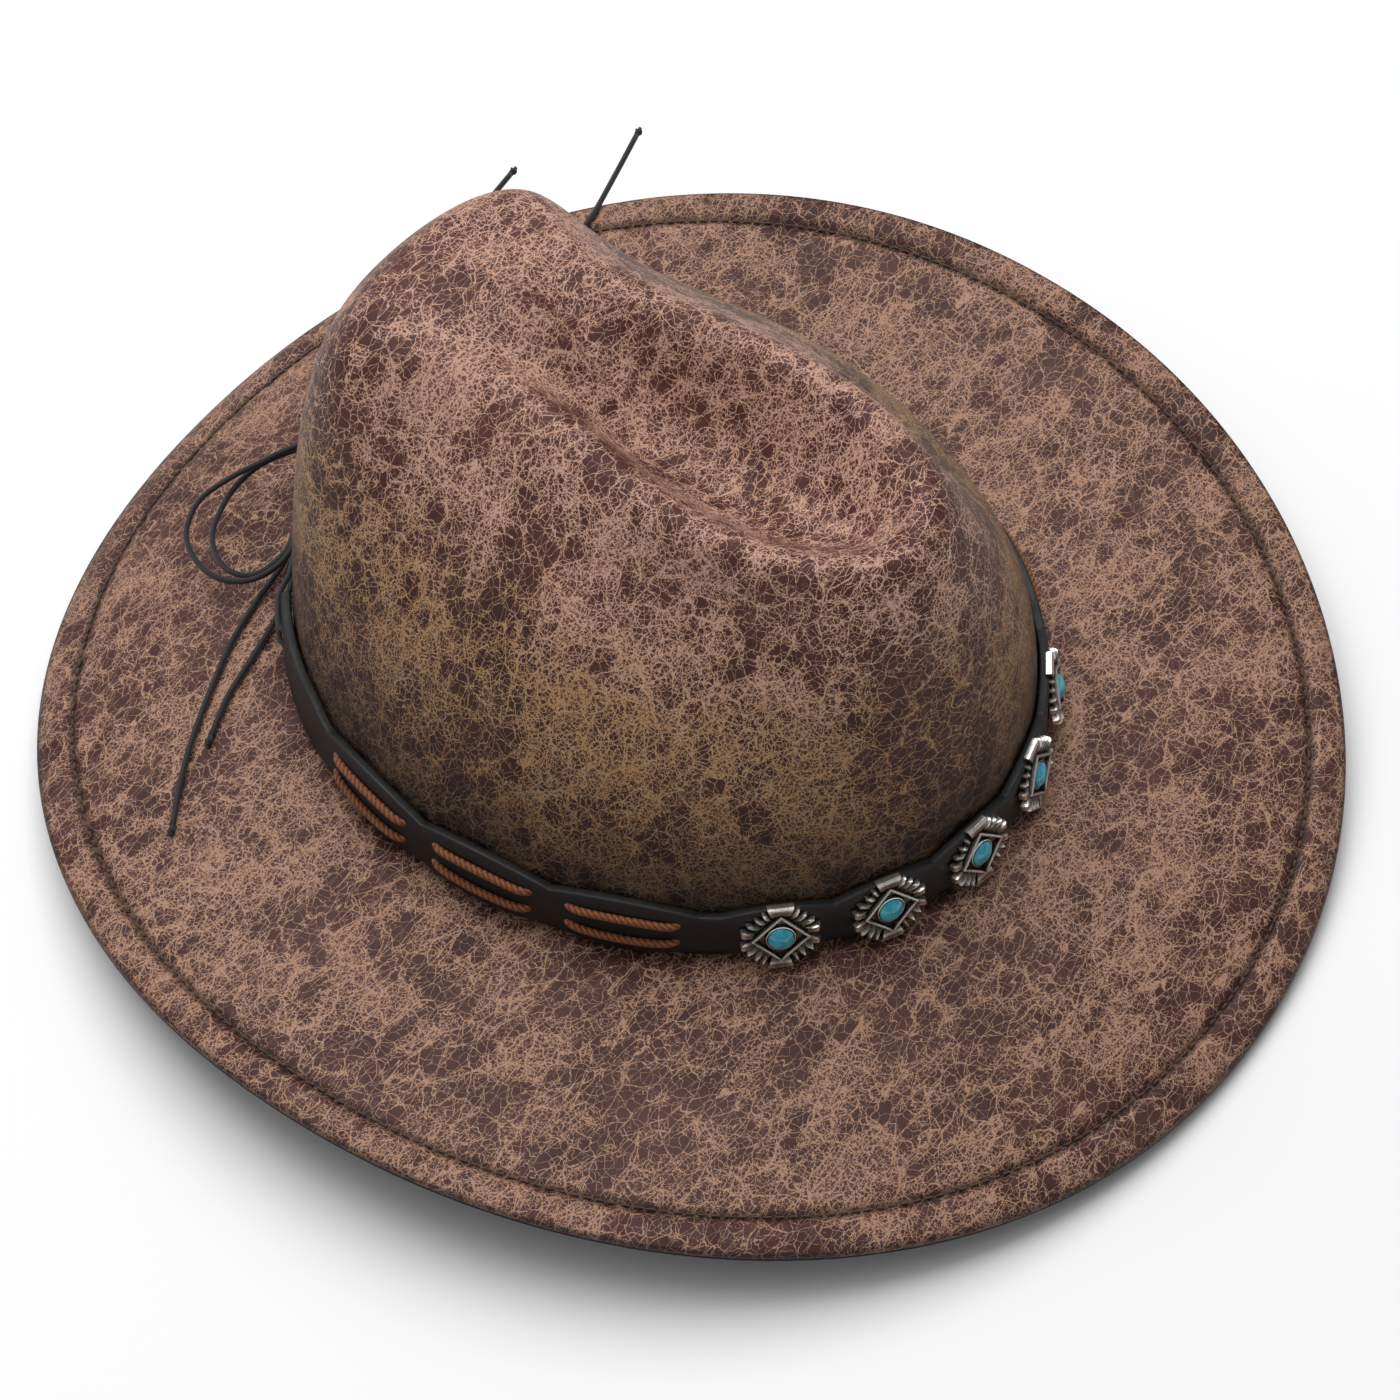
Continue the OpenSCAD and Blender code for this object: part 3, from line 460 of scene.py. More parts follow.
tie_d, tip_d = 1.6, 2.6
routes = {
    "loop_right_outer": [[-1.5, 115.2, 40], [-6, 121, 40.5], [-12.5, 125.5, 39.5],
        [-20.5, 129, 38.7], [-28, 132, 38], [-38, 134, 37.2], [-47, 131, 36.2], [-52, 125.5, 35.6],
        [-54.5, 117.5, 35.2], [-53, 110.3, 35.2], [-47.5, 105, 35.7], [-37.7, 103.6, 36.6],
        [-26, 108.2, 37.8], [-14, 112.6, 39], [-2.7, 113.9, 39.4]],
    "loop_right_inner": [[-1, 115.6, 37.2], [-5, 121.5, 37.2], [-12, 127, 36.4],
        [-19, 130, 35.8], [-26, 131, 34.8], [-33, 130.2, 33.7], [-41.5, 127, 32.7],
        [-46.5, 122, 32.2], [-49, 115.6, 32.2], [-47.5, 109.6, 32.7], [-43, 106.6, 33.6],
        [-35, 106.2, 34.6], [-24, 110, 35.6], [-13, 113.4, 36.6], [-2.9, 114.2, 37.4]],
    "loop_left_outer": [[1.5, 115.2, 40], [6, 121, 40.5], [13, 125.5, 39.8], [21, 129, 39],
        [30, 131, 38], [39, 129, 37], [44.5, 123, 36.2], [45.5, 115.5, 36], [42, 109.5, 36.3],
        [34, 107.3, 37], [24, 109.6, 38], [13, 112.8, 39], [2.7, 113.9, 39.4]],
    "loop_left_inner": [[1.2, 115.7, 37.7], [5, 121.5, 37.2], [12, 126, 36.2], [20, 128.4, 35],
        [28, 128.4, 33.8], [35, 125, 32.8], [38.5, 119.5, 32.4], [37, 114, 32.8],
        [31, 111.2, 33.8], [22, 111.8, 35.2], [12, 113.8, 36.6], [2.9, 114.2, 37.4]],
    "tail_right_long": [[-1, 114.6, 35.6], [-5, 117, 33], [-12, 118, 30.8], [-20, 115.4, 29.6],
        [-28, 111.2, 29.2], [-35.5, 107.4, 29], [-42.5, 106, 28.4], [-50, 105, 27.8],
        [-63.5, 101.8, 27.4], [-76, 97.2, 26.9], [-86.5, 92.9, 26.4], [-96, 88.6, 25.9],
        [-106.3, 83, 25.3], [-117, 76.3, 24.7]],
    "tail_right_short": [[-2.2, 113.4, 36], [-6, 113, 33.4], [-13, 111.2, 31.6],
        [-23, 108.4, 30.8], [-33, 104.4, 30.4], [-43.3, 99.4, 29.6], [-52.5, 96.6, 28.4],
        [-66.4, 93.3, 27.8], [-78.5, 90.6, 27.3], [-90.6, 86, 26.7]],
    "tail_left_long": [[1.9, 114.2, 35.9], [5, 117.4, 33], [12, 119.2, 30], [22, 120, 28],
        [36, 120.3, 27.4], [54, 120, 27], [72, 119, 26.6], [90, 118.6, 26.8], [104, 119, 27.1],
        [113.5, 120, 27.5], [128, 123.8, 27.9], [145, 128.4, 28.9]],
    "tail_left_short": [[0.35, 115.2, 36.35], [3, 119.6, 33.4], [9, 124.2, 29.6],
        [19, 128.6, 27.2], [33, 134, 25.5], [50, 139.5, 23.6], [68, 144, 21.6], [86, 148, 20],
        [98, 150.3, 20], [108, 151.9, 20.2], [117.5, 153, 20.4]],
}


def end_knot(name, line):
    """A tight overhand knot: a trefoil line r = (2 + cos 3a) wound twice round, as a thin tube."""
    way = unit(line[-1] - line[-2])
    centre = line[-1] + way * tip_d / 2
    a = np.linspace(0, 2 * np.pi, 61)[:, None]
    side = unit(np.cross(way, (0, 0, 1)))
    rise = np.cross(side, way)
    r = 0.27 * (2 + np.cos(3 * a))
    path = centre + r * np.cos(2 * a) * side + r * np.sin(2 * a) * rise + 0.42 * np.sin(3 * a) * way
    knot, uv = tube_grid(path, 0.42, 8, level=tuple(way + 0.01))
    stub = np.array([line[-1] - way * 0.3, centre, centre + way * 0.9, centre + way * 1.45])
    tail, tail_uv = tube_grid(stub, np.array([0.8, 0.95, 0.5, 0.62]), 8)
    return solid(name, [knot, tail], "hatband", tie_finish, [uv, tail_uv])


for name, points in routes.items():
    line = smooth_line(points, 6)
    grid, uv = tube_grid(line, tie_d / 2, 12)
    piece = solid(name + "_cord", [grid], "hatband", tie_finish, [uv])
    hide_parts(name)
    if name.startswith("tail"):
        knot = end_knot(name.replace("tail", "tip") + "_knot", line)
        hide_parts(name.replace("tail", "tip"))

# %% [markdown]
# ## Crown
# A crown like this is steamed over a block: an egg-shaped foot, a rim round the top, a long
# crease down the middle and two pinches at the front. It could be sculpted, but a formula keeps
# both halves fair. At each angle round the hat, ten control points climb from the foot, over the
# rim and down to the crease, and a cubic B-spline runs through their pull.

# %% Crown surface
crown_front, crown_rear, half_wide, shift_back = 104.0, 98.5, 88.0, 10.5
brim_half_long, brim_half_wide = 173.0, 165.0
skin_wall, core_wall, under_wall, hair = 0.9, 1.3, 0.7, 0.1


def edge_z(t):
    """Height of the brim's edge against the crown's foot: a dip of 13 mm at the front and back,
    with the wearer's left side 5 mm higher and the dips twisted a little."""
    return -9 - 13 * np.cos(2 * t) + 5 * np.sin(t) - 4 * np.sin(2 * t)


foot_z = skin_wall + core_wall + under_wall + 2 * hair - edge_z(np.radians(np.arange(360))).min()


def foot_half(t):
    return np.where(np.cos(t) > 0, crown_front, crown_rear)


def blend_points(a, b, k):
    return a + (b - a) * (k[..., None] if np.ndim(k) else k)


def section(t):
    """Fourteen control points for each angle t: the foot and the crease's bottom three times, and
    the wall, rim and crease's side between them, moved inwards where the dents are."""
    s, c = np.sin(t), np.cos(t)
    w = np.abs(np.degrees(np.arctan2(s, c)))
    rear = 0.5 - 0.5 * c
    rear_wall = ramp(rear, 0.6, 1)
    half = 34 + 34 * ramp(rear, 0.72, 1)
    square = (np.abs(s) ** 2.3 + np.abs(c) ** 2.3) ** (-1 / 2.3)
    foot = np.stack([half_wide * s, -foot_half(t) * c], -1)
    waist = 11 * np.exp(-((w - 102) / 28) ** 2)
    rim = np.stack([half * s * square - np.sign(s) * waist, -(80 - rear) * c * square + rear], -1)
    rim_z = 102 + 4 * rear
    lengthwise = -50 * c
    spine = np.stack([2 * s, lengthwise], -1)
    spine_z = 82 + 27 * ramp(lengthwise, -5, 44) + 5 * ramp(-lengthwise, 25, 50)
    dent = (17 * np.exp(-((w - 60) / 24) ** 2) + 9 * np.exp(-((w - 108) / 30) ** 2))[..., None]
    inward = np.stack([-s, c], -1)
    xy = [foot, foot * 0.998, blend_points(foot, rim, 0.07),
          blend_points(foot, rim, 0.24 - 0.07 * rear_wall) + inward * dent * 0.38,
          blend_points(foot, rim, 0.56 - 0.06 * rear_wall) + inward * dent,
          blend_points(foot, rim, 0.93), blend_points(rim, spine, 0.18),
          blend_points(rim, spine, 0.62), spine, spine * np.array([0, 1])]
    z = [0, rim_z * 0.115, rim_z * 0.33, rim_z * 0.605, rim_z * 0.86, rim_z + 2 - 6 * rear_wall,
         rim_z + 4, rim_z + (spine_z - rim_z) * 0.7, spine_z, spine_z]
    points = [np.concatenate([p, np.broadcast_to(h, t.shape)[..., None]], -1)
              for p, h in zip(xy, z)]
    return np.stack([points[0]] * 2 + points + [points[-1]] * 2)


def crown(t, x):
    """Cubic B-spline through the section at angle t: x is 0 at the foot and 11 in the crease."""
    c = section(t)
    x = np.clip(x, 0, 11)
    i = np.minimum(x.astype(int), 10)
    f = x - i
    weights = [(1 - f) ** 3 / 6, (3 * f ** 3 - 6 * f ** 2 + 4) / 6,
               (-3 * f ** 3 + 3 * f ** 2 + 3 * f + 1) / 6, f ** 3 / 6]
    cell = tuple(np.indices(t.shape))
    total = sum(w[..., None] * c[(i + k,) + cell] for k, w in enumerate(weights))
    # the crease's bottom is a round valley: soft rises towards the middle line
    soft = 0.5 * ramp(x, 7.6, 9.6) * (np.hypot(total[..., 0], 5) - np.abs(total[..., 0]))
    return total + np.stack([0 * soft, 0 * soft + shift_back, soft + foot_z], -1)


def crown_inside(columns, depth, rows=18):
    """The wall moved inwards by depth along its normal: level at the foot, straight down at the
    crease, and never across the middle."""
    t = np.linspace(0, 2 * np.pi, columns + 1)
    x = np.append(8.6 * np.arange(rows - 1) / (rows - 2), 11.0)
    tt, xx = np.meshgrid(t, x, indexing="ij")
    p = crown(tt, xx)
    du = crown(tt + 0.06, xx) - crown(tt - 0.06, xx)
    dv = crown(tt, xx + 0.25) - crown(tt, xx - 0.25)
    n = unit(np.cross(du[:, :-1], dv[:, :-1]))
    n[:, 0, 2] = 0
    q = p.copy()
    q[:, :-1] -= unit(n) * depth
    q[:, -1, 2] -= depth
    side = np.sign(np.round(np.sin(tt), 9))
    q[..., 0] = np.where(side == 0, 0, side * np.maximum(side * q[..., 0], 0))
    return q


columns = 384
t_ring = np.linspace(0, 2 * np.pi, columns + 1)
x_rows = np.concatenate([np.linspace(0, 9, 118), np.linspace(9.06, 11, 22)])
tt, xx = np.meshgrid(t_ring, x_rows, indexing="ij")
outer = crown(tt, xx)
inner = crown_inside(columns, 2.0)
crown_piece = solid("crown", [np.concatenate([inner[:, ::-1], outer], 1)], "hat", crown_leather)
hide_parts("crown_shell")

lining = np.concatenate([crown_inside(columns, 2.6)[:, ::-1], crown_inside(columns, 2.1)], 1)
lining_piece = solid("lining", [lining], "hat", lining_cloth)
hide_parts("crown_lining")

# %% [markdown]
# ## Brim
# The brim is a sandwich: the leather film is wrapped over a stiff board with a steel wire at its
# edge, and cloth closes it below. Sewing 10 mm in from the edge pulls a groove, and the hem
# outside it stands slightly proud with small puckers. Each layer is a closed profile, carried
# round the hat: the height falls with the 2.2 power of the way out, so the brim leaves the crown
# level and turns down towards its edge.

# %% Brim layers
brim_columns = 900
brim_t = np.linspace(0, 2 * np.pi, brim_columns + 1)


def foot_xy(t):
    return np.stack([half_wide * np.sin(t), shift_back - foot_half(t) * np.cos(t)], -1)


def edge_xy(t):
    """Oval edge: a superellipse of power 2.07."""
    q = (np.abs(np.sin(t)) ** 2.07 + np.abs(np.cos(t)) ** 2.07) ** (-1 / 2.07)
    return np.stack([brim_half_wide * np.sin(t) * q, -brim_half_long * np.cos(t) * q], -1)


def brim(t, out, drop):
    """Point of the brim: out is 0 at the crown and 1 at the edge, drop is below the upper face."""
    xy = blend_points(foot_xy(t), edge_xy(t), out)
    z = foot_z + edge_z(t) * np.clip(out, 0, None) ** 2.2 - drop
    return np.concatenate([xy, z[..., None]], -1)


def brim_run(t):
    return np.linalg.norm(edge_xy(t) - foot_xy(t), axis=-1)


def brim_from_edge(t, inset, drop):
    return brim(t, 1 - inset / brim_run(t), drop)


def pucker(t):
    """Irregular waves along the hem, from five sines of 5 to 17 mm, each of random phase."""
    waves = [61, 87, 113, 149, 199]
    phases = rng.uniform(0, 2 * np.pi, len(waves))
    total = sum(np.sin(k * t + p) for k, p in zip(waves, phases))
    return total / len(waves)


waves_here = pucker(brim_t)


def hem_relief(inset, waves):
    """Rise of the upper face: a groove under the stitches, and a puffed, puckered hem outside."""
    groove = -0.85 * np.exp(-((inset - hem_inset) / 1.6) ** 2)
    puff = 0.75 * ramp(inset, 0.4, 3.5) * (1 - ramp(inset, 6.4, 9.7))
    near = ramp(inset, 0.5, 3) * (1 - ramp(inset, 9, 18))
    return groove + puff + 0.6 * waves * near


def layer(name, insets, drops, relief, material, root_drops, replaced):
    """Closed profile: the root under the crown's wall, the points given by their distance from the
    edge and their drop, and back to the root."""
    root = crown_inside(brim_columns, 2.7)[:, 0]
    rows = [root - [0, 0, root_drops[0]]]
    for inset, drop, rise in zip(insets, drops, relief):
        here = np.minimum(inset, brim_run(brim_t)) if inset > 60 else np.full_like(brim_t, inset)
        rows.append(brim_from_edge(brim_t, here, drop - rise))
    rows += [root - [0, 0, root_drops[1]], rows[0]]
    from_edge = np.array([200, *insets, 200, 200])
    edge_map = np.stack(np.broadcast_arrays(brim_t[:, None] / (2 * np.pi), from_edge[None]), -1)
    piece = solid(name, [np.stack(rows, 1)], "hat", material, [edge_map])
    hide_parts(replaced)
    return piece


upper = np.concatenate([[200], np.arange(78, 20, -2.5), np.arange(19, 11, -1),
                        np.arange(11, 9, -0.2), np.arange(9, 1, -0.5)])
steps = np.radians(np.arange(90, -91, -15))
round_in, round_drop = 0.95 - 0.95 * np.cos(steps), 1.1 - 1.1 * np.sin(steps)
skin_in = np.concatenate([upper, round_in, [1.3, 1.1, 1.1, 12, 40, 200]])
skin_drop = np.concatenate([0 * upper, round_drop, [2.2, 2.0, 0.95, 0.95, 0.9, 0.9]])
skin_rise = [hem_relief(i, waves_here) if k < len(upper) else 0 for k, i in enumerate(skin_in)]
# inside the hem the skin's lower face stays flat on the board
layer("brim_skin", skin_in, skin_drop, skin_rise, brim_leather, (0, skin_wall),
      "brim_top")
cloth_top = skin_wall + core_wall + 2 * hair
cloth_in = np.array([200, 60, 30, 12, 4, 1, 0.25, 0.25, 1, 4, 10, 12, 30, 60, 200])
cloth_drop = np.array([0, 0, 0, 0, 0, 0, 0.15, 0.55, 0.7, 0.7, 0.6, 0.7, 0.7, 0.7, 0.7]) + cloth_top
layer("brim_cloth", cloth_in, cloth_drop, [0] * len(cloth_in), under_cloth,
      (cloth_top, cloth_top + under_wall), "brim_underside")

# %% [markdown]
# ## Hem stitches
# A lockstitch in thin brown thread, ten millimetres from the edge. Each stitch is a short pill
# that dives into the film at both ends. Hundreds are needed, so each has only a few faces and
# they are worked out together: the angle of every ring of every stitch is one array.

# %% Hem stitches
def stitches(name, path, count, radius, duty, dive, material, sides=6):
    """count pills along path(angle): duty is the part of each pitch that is thread, and dive how
    far the ends sink. Radius follows a half ellipse."""
    k = np.arange(count)
    u = np.linspace(-1, 1, 7)
    t = 2 * np.pi * (k[:, None] + 0.5 + 0.5 * duty * u[None]) / count
    line = path(t.ravel()).reshape(count, len(u), 3)
    line[..., 2] -= dive * (u ** 4)
    way = unit(np.gradient(line, axis=1))
    side = unit(np.cross(way, (0, 0, 1.0)))
    rise = np.cross(side, way)
    r = radius * np.sqrt(np.clip(1 - u ** 4, 0, 1))
    a = np.linspace(0, 2 * np.pi, sides + 1)
    across, up = (f(a)[None, None, :, None] for f in (np.cos, np.sin))
    ring = line[:, :, None] + r[None, :, None, None] * (
        across * side[:, :, None] + up * rise[:, :, None])
    uv = np.stack(np.broadcast_arrays(a[None] / (2 * np.pi), 3 * u[:, None]), -1)
    return solid(name, list(ring), "hat", material, [uv] * count)


def hem_path(t):
    return brim_from_edge(t, np.full_like(t, hem_inset), 0.38)


hem = stitches("hem_thread", hem_path, 330, 0.3, 0.8, 0.35, thread_finish)
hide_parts("hem_stitches")

# %% [markdown]
# ## Sweatband
# A strip of smooth leather inside the foot of the crown, folded at its lower edge and sewn there.
# It is the crown's own wall moved inwards, so it fits.

# %% Sweatband
def sweat_grid(depth, count=brim_columns // 2):
    t = np.linspace(0, 2 * np.pi, count + 1)
    x = 8.6 * np.linspace(0, 3, 8) / 17
    tt, xx = np.meshgrid(t, x, indexing="ij")
    n = np.cross(crown(tt + 0.06, xx) - crown(tt - 0.06, xx),
                 crown(tt, xx + 0.25) - crown(tt, xx - 0.25))
    n[:, 0, 2] = 0
    return crown(tt, xx) - unit(n) * depth


band_out, band_in = sweat_grid(2.8), sweat_grid(4.0)
total_wall = skin_wall + core_wall + under_wall + 2 * hair
fold = [g[:, :1] - [0, 0, total_wall] for g in (band_out, band_in)]
band_rows = np.concatenate([fold[0], band_out, band_in[:, ::-1], fold[1], fold[0]], 1)
sweat_piece = solid("sweatband_strip", [band_rows], "hat", sweat_leather, sharp=50)
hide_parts("sweatband")


def sweat_path(t):
    p = crown(t, np.zeros_like(t))
    n = unit(np.stack([foot_half(t) * np.sin(t), -half_wide * np.cos(t), 0 * t], -1))
    return p - n * 4.15 + [0, 0, 1]


inner_thread = stitches("sweatband_thread", sweat_path, 150, 0.3, 0.75, 0.0, thread_finish)
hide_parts("sweatband_stitches")

# %% [markdown]
# ## Hatband strap
# Thick black leather, cut with a wavy outline: wide behind each concho and each laced panel and
# narrow between them. It lies on the crown's wall, so each of its points is found on the wall
# first, at its height, and then moved out. The height is found by halving, for all the points at
# once. Its edges are rounded over half a millimetre.

# %% Strap
strap_wide, strap_narrow, strap_wall, strap_mid, strap_gap = 17.5, 12.5, 2.6, 11.5, 0.45
strap_length, concho_pitch, concho_offset, panel_pitch = 472.0, 27.8, 8.0, 38.0
strap_reach = strap_gap + strap_wall / 2
degrees = np.arange(0, 181)
turns = np.radians(degrees[:-1] + 0.5)
rates = np.hypot((half_wide + strap_reach) * np.cos(turns),
                 (foot_half(turns) + strap_reach) * np.sin(turns)) * np.pi / 180
reach = np.concatenate([[0], np.cumsum(rates)])
back_reach = reach[-1]


def angle_at(s):
    """Angle round the crown at length s along the strap, counted from the front."""
    return np.radians(np.sign(s) * np.interp(np.abs(s), reach, degrees))


def foot_normal(t):
    return unit(np.stack([foot_half(t) * np.sin(t), -half_wide * np.cos(t), 0 * t], -1))


def wall_point(t, h, out):
    """Point of the crown's wall at height h over the foot, moved outwards by out."""
    t, h, out = (np.array(a, float) for a in np.broadcast_arrays(t, h, out))
    low, high = np.zeros_like(t), np.full_like(t, 5.0)
    for _ in range(18):
        mid = (low + high) / 2
        below = crown(t, mid)[..., 2] - foot_z < h
        low, high = np.where(below, mid, low), np.where(below, high, mid)
    x = (low + high) / 2
    rise = unit(crown(t, x + 0.05) - crown(t, np.maximum(x - 0.05, 0)))
    n = foot_normal(t)
    away = unit(n - rise * (n * rise).sum(-1, keepdims=True))
    return crown(t, x) + away * out[..., None]


def swell(x, pitch):
    return np.abs(np.cos(np.pi * x / pitch)) ** 0.8


concho_reach = 2.5 * concho_pitch
panel_start = concho_reach + 6
panel_reach = 3 * panel_pitch


def strap_half(x):
    """Half width at length x from the middle concho: a wave per concho, then one per panel."""
    a = np.abs(x)
    panel_end = panel_start + panel_reach
    on_panel = swell(a - panel_start - panel_pitch / 2, panel_pitch)
    bulge = np.where(a < concho_reach, swell(x, concho_pitch),
            np.where(a < panel_start, 0,
            np.where(a < panel_end, on_panel, 0.85 * ramp(a, panel_end, panel_end + 12))))
    return (strap_narrow + (strap_wide - strap_narrow) * bulge) / 2


def strap_grid(count=660, r=0.55):
    """Rounded rectangle in height and distance from the wall, at every length. Each corner is a
    quarter circle of radius r, and share says how far out towards the strap's edge a point is."""
    s = np.linspace(-strap_length / 2, strap_length / 2, count) - concho_offset
    h = strap_half(s + concho_offset)[:, None]
    q = np.radians([0, 30, 60, 90, 90, 90, 90, 90, 120, 150, 180])
    share = np.array([1, 1, 1, 1, 0.5, 0, -0.5, -1, -1, -1, -1])
    q = np.concatenate([q, q + np.pi])
    share = np.concatenate([share, -share])
    face = np.repeat([1, -1], 11)
    height = strap_mid + share * (h - r) + r * np.cos(q) * (np.abs(share) == 1)
    out = strap_gap + strap_wall / 2 + face * (strap_wall / 2 - r) + r * np.sin(q)
    grid = wall_point(angle_at(s)[:, None], height, out)
    grid = np.concatenate([grid, grid[:, :1]], 1)
    cap = np.repeat(grid[:, :-1].mean(1, keepdims=True), grid.shape[1], 1)
    return np.concatenate([cap[:1], grid, cap[-1:]])


strap_piece = solid("strap", [strap_grid()], "hatband", strap_leather, sharp=60)
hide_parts("hatband_strap")

# %% [markdown]
# ## Lacing
# Two runs of orange-brown lace cross each of the three panels on either side, and dive into
# slits at both ends. The lace is twisted from three plies, so the circle that is carried along
# it has three lobes that turn with the length.

# %% Laces
lace_d, lace_run = 2.2, 28.0


def lace_grids(side):
    grids, uvs = [], []
    for panel in range(3):
        for row in (-1, 1):
            u = np.linspace(-1, 1, 61)
            middle = panel_start + (panel + 0.5) * panel_pitch
            s = side * (middle + u * lace_run / 2) - concho_offset
            bow = 0.6 * np.cos(np.pi * u / 2)
            sink = 1.5 * np.abs(u) ** 10
            line = wall_point(angle_at(s), strap_mid + row * (3 + bow),
                              strap_gap + strap_wall + lace_d * 0.42 - sink)
            grid, uv = tube_grid(line, lace_d / 2, 16, lobes=3, pitch=5.0, depth=0.28)
            grids.append(grid)
            uvs.append(uv)
    return grids, uvs


for side, name in ((-1, "right"), (1, "left")):
    grids, uvs = lace_grids(side)
    piece = solid(f"laces_{name}", grids, "hatband", lace_finish, uvs)
    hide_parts(f"lace_{name}")

# %% [markdown]
# ## Conchos
# Each concho is a cast plate in the shape of a stepped sunburst, with a raised diamond frame
# round a sunken field where the stone sits. The plate's top is drawn as rings that shrink from
# its outline towards the middle, and every ring is higher on a ray than between two rays, which
# folds the metal into the fingers that the real casting has.

# %% Conchos
half_size = 10.0
concho_lean = math.radians(9)
tips = half_size * np.array([
    [0.72, 0], [1, 0.14], [1, 0.30], [0.80, 0.30], [0.86, 0.50], [0.62, 0.47],
    [0.66, 0.70], [0.46, 0.64], [0.48, 0.86], [0.30, 0.80], [0.34, 1], [0, 1]])
raised = np.array([0.2, 1, 1, 0, 1, 0, 1, 0, 1, 0, 1, 1.0])


def sunburst(per=4):
    """Outline of four mirrored quadrants with per points in each span, and how far each point is
    on a ray: 1 on a ray and 0 in a notch."""
    quarter = np.vstack([tips, (tips * [-1, 1])[-2::-1]])
    rise = np.concatenate([raised, raised[-2::-1]])
    whole = np.vstack([quarter, (quarter * [1, -1])[-2:0:-1]])
    rises = np.concatenate([rise, rise[-2:0:-1]])
    whole, rises = np.vstack([whole, whole[:1]]), np.append(rises, rises[0])
    spot = np.linspace(0, len(whole) - 1, (len(whole) - 1) * per + 1)
    index = np.arange(len(whole))
    outline = np.stack([np.interp(spot, index, whole[:, k]) for k in (0, 1)], 1)
    return outline, np.interp(spot, index, rises)


def rings(outline, scales, heights):
    """Scaled copies of a closed outline at the given heights, one row each."""
    flat = [outline * s for s in scales]
    return np.stack([np.column_stack([f, np.broadcast_to(h, len(f))])
                     for f, h in zip(flat, heights)])


def concho_grids():
    outline, ray = sunburst()
    scales = [0, 1, 1, 0.985, 0.95, 0.88, 0.8, 0.72, 0.6, 0]
    heights = [0, 0, 0.7, 0.85 + 0.55 * ray, 0.9 + 0.95 * ray, 0.85 + 1.05 * ray, 0.85 + 1.0 * ray,
               1.0 + 0.6 * ray, 0.9, 0.9]
    body = rings(outline, scales, heights)
    corner = np.array([[1, 0], [0, 1], [-1, 0], [0, -1], [1, 0.0]])
    spot = np.linspace(0, 4, 33)
    square = np.stack([np.interp(spot, np.arange(5), corner[:, k]) for k in (0, 1)], 1)
    frame_ring = rings(square, [7.5, 7.45, 7.2, 6.8, 6.5, 6.4, 6.4, 7.5],
                       [0.7, 2.1, 2.4, 2.4, 2.1, 1.3, 0.7, 0.7])
    a = np.linspace(0, 2 * np.pi, 49)
    circle = np.stack([np.cos(a), np.sin(a)], 1)
    bezel = rings(circle, [3.95, 3.9, 3.75, 3.5, 3.35, 3.35, 3.95],
                  [0.7, 1.4, 1.75, 1.8, 1.6, 0.7, 0.7])
    return [body, frame_ring, bezel]


def on_strap(local, s):
    """Turns local points, with x to the right, y up and z out of the leather, to face outwards at
    length s on the strap, leaning back by concho_lean with their upper edge pressed in."""
    t = angle_at(np.array(s))
    base = wall_point(t, strap_mid, strap_gap + strap_wall)
    up = unit(wall_point(t, strap_mid + 4, strap_gap) - wall_point(t, strap_mid - 4, strap_gap))
    side = unit(np.cross(up, foot_normal(t)))
    out = np.cross(side, up)
    level, tilt = math.cos(concho_lean), math.sin(concho_lean)
    up, out = up * level - out * tilt, out * level + up * tilt
    x, y, z = (local[..., k:k + 1] for k in range(3))
    return base + x * side + y * up + (z + 0.5) * out


def stone_grid():
    """A low dome: radius runs to 3.25 mm and the height falls as a circle's does."""
    a = np.linspace(0, 2 * np.pi, 49)
    r = np.array([0, 3.25, 3.25, 3.22, 3.1, 2.8, 2.3, 1.6, 0.8, 0])
    z = 3.5 - 4.4 + np.sqrt(4.4 ** 2 - r ** 2)
    z[:2] = 1.0
    return np.stack([np.column_stack([k * np.cos(a), k * np.sin(a), np.full_like(a, h)])
                     for k, h in zip(r, z)])


for k in range(1, 6):
    s = (k - 3) * concho_pitch - concho_offset
    casting = solid(f"concho_{k}_cast", [on_strap(g, s) for g in concho_grids()], "hatband",
                    silver_finish, sharp=25)
    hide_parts(f"concho_{k}")
    stone = solid(f"stone_{k}", [on_strap(stone_grid(), s)], "hatband", stone_finish)
    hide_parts(f"turquoise_{k}")

# %% [markdown]
# ## Strands and knot
# At the back the strap stops short, and two strands from each end run on round the crown to the
# knot. The knot itself is a trefoil of the same cord, pulled tight.

# %% Strands and knot
def strand_line(side, row):
    """Height and distance from the wall along the strand: on the leather at first, then down to
    the wall, and together at the knot."""
    strap_end = strap_length / 2 - side * concho_offset
    s = np.linspace(strap_end - 9, back_reach - 1.5, 60)
    lift = (strap_wall + hair) * (1 - ramp(s, strap_end + 1, strap_end + 13))
    near = ramp(s, back_reach - 25, back_reach - 2)
    h = strap_mid + row * (3 + (1.2 - 3) * near)
    sink = 1.6 * (1 - ramp(s, strap_end - 9, strap_end - 6))
    return wall_point(angle_at(side * s), h, strap_gap + lift + tie_d / 2 - sink)


for side, name in ((-1, "right"), (1, "left")):
    made = [tube_grid(strand_line(side, row), tie_d / 2, 12) for row in (-1, 1)]
    piece = solid(f"strap_strands_{name}", [m[0] for m in made], "hatband", tie_finish,
                  [m[1] for m in made])
    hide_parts(f"strands_{name}")

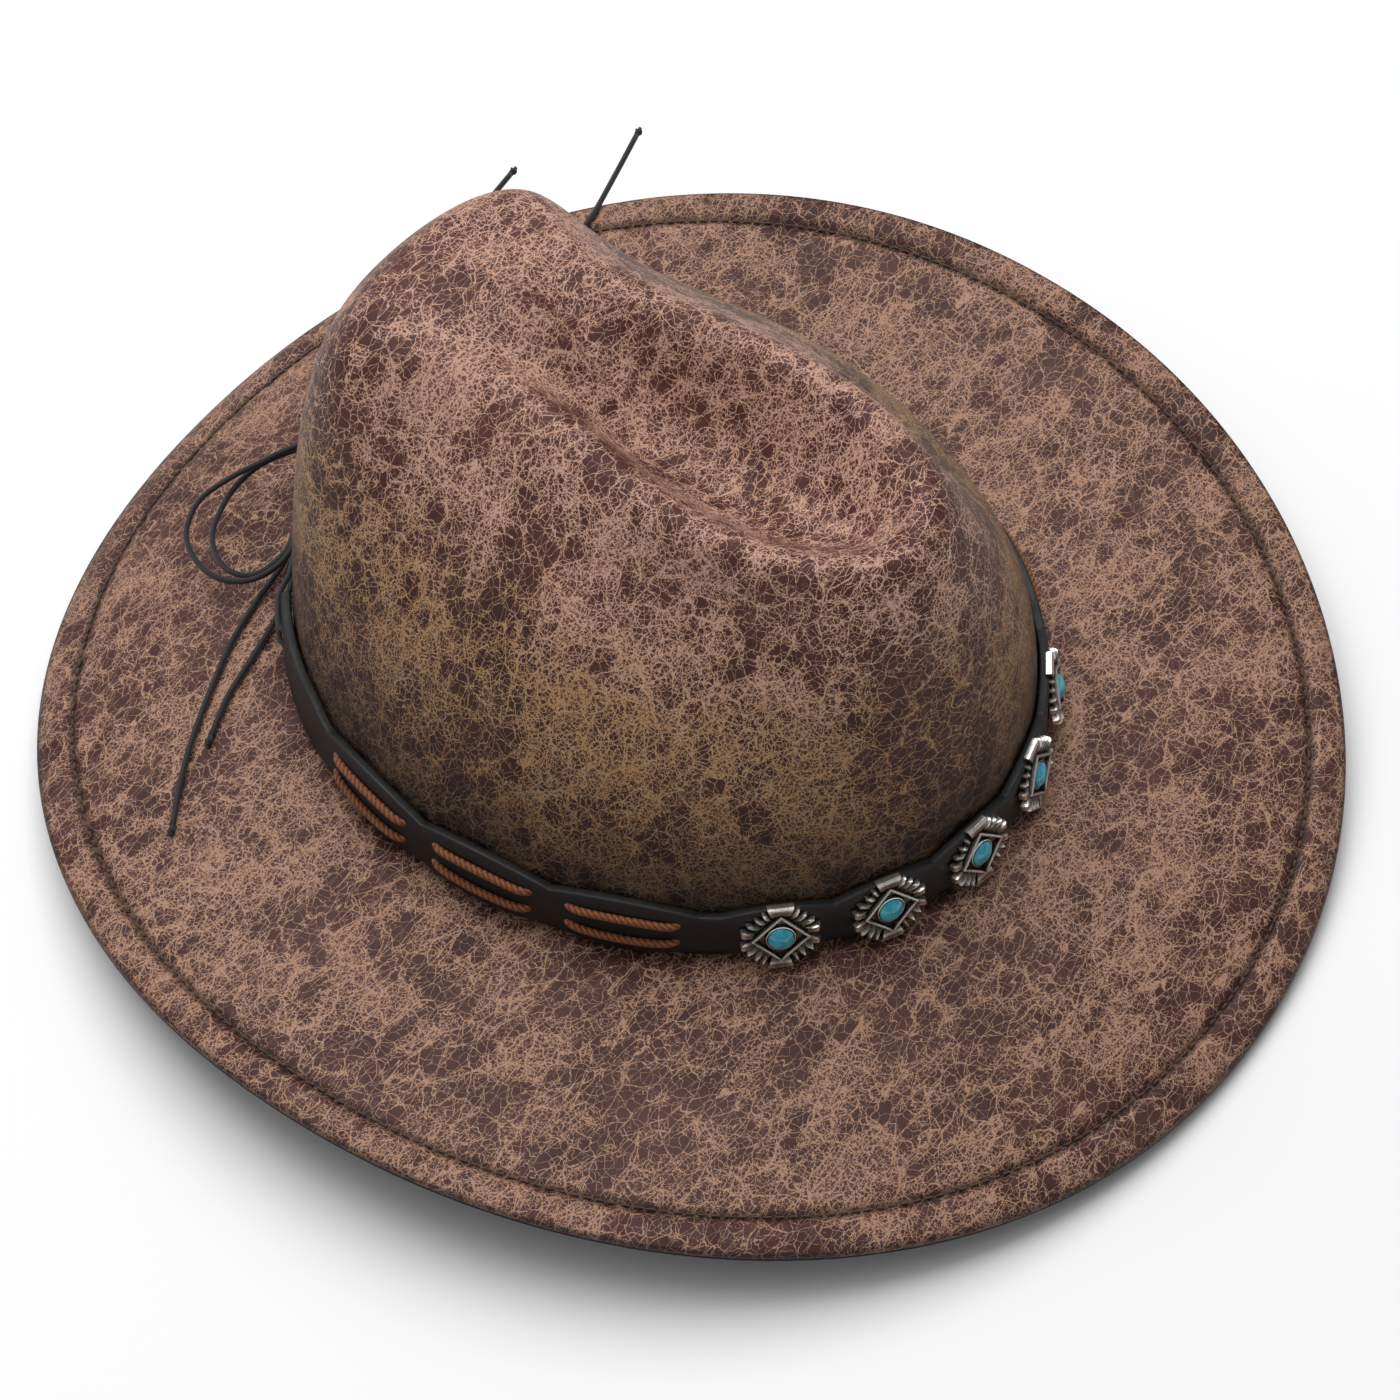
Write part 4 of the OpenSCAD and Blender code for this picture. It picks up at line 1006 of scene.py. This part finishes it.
centre = wall_point(np.pi, strap_mid, strap_gap + 3.4)
a = np.linspace(0, 2 * np.pi, 121)
r = 0.78 * (2 + np.cos(3 * a))
knot_line = centre + np.stack([r * np.cos(2 * a), 1.5 * np.sin(3 * a), r * np.sin(2 * a)], 1)
grid, uv = tube_grid(knot_line, 0.95, 12, level=(0.02, 1.0, 0.03))
core = np.array([[0, -1.6, 0], [0, -0.8, 0], [0, 0.8, 0], [0, 1.6, 0]]) + centre
plug, plug_uv = tube_grid(core, np.array([0.9, 1.5, 1.5, 0.9]), 12)
knot_piece = solid("tie_knot", [grid, plug], "hatband", tie_finish, [uv, plug_uv])
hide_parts("bow_knot")

# %% [markdown]
# ## Pieces that stay as they are
# The rivets, the hem wire and the stiff board are hidden inside, and their shapes are right, so
# they keep their own mesh and take a finish.

# %% Hidden pieces
for name, finish in (("concho_rivets", steel_finish), ("brim_wire", steel_finish),
                     ("brim_core", board_finish)):
    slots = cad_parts[name].material_slots
    for slot in slots:
        slot.material = finish
    print(name, "takes", finish.name)

# %% [markdown]
# ## Floor and light
# The hat stands on a pale sweep with soft light: a broad panel high behind it and one overhead
# light the top of the crown and the brim, and leave the front wall in shade.

# %% Floor and light
def stage_plane(name, size, height):
    mesh = bpy.data.meshes.new(name)
    h = size / 2
    mesh.from_pydata([(-h, -h, height), (h, -h, height), (h, h, height), (-h, h, height)], [],
                     [(0, 1, 2, 3)])
    plane = bpy.data.objects.new(name, mesh)
    bpy.context.collection.objects.link(plane)
    material, _, shader, _ = finish_of("painted_sweep")
    shader.inputs["Base Color"].default_value = linear("#fafafa")
    shader.inputs["Roughness"].default_value = 0.9
    mesh.materials.append(material)


stage_plane("floor", 30.0, -0.0005)


def panel(name, place, target, size, power, colour="#ffffff"):
    """A square area light, size metres across and power watts strong, that faces its target."""
    light = bpy.data.lights.new(name, "AREA")
    light.energy, light.size = power, size
    light.color = linear(colour)[:3]
    lamp = bpy.data.objects.new(name, light)
    way = Vector(target) - Vector(place)
    turned = way.to_track_quat("-Z", "Y").to_matrix().to_4x4()
    lamp.matrix_world = Matrix.Translation(place) @ turned
    bpy.context.collection.objects.link(lamp)


panel("key", (0.35, 0.6, 1.85), (0, 0, 0.05), 2.0, 35.5)
panel("top", (-0.5, 0.1, 1.8), (0, 0, 0.05), 1.2, 6.0)
world = bpy.data.worlds.new("studio")
bpy.context.scene.world = world
world.use_nodes = True
sky = world.node_tree.nodes["Background"]
sky.inputs[0].default_value = (1, 1, 1, 1)
sky.inputs[1].default_value = 0.27
bpy.context.scene.view_settings.view_transform = "Standard"
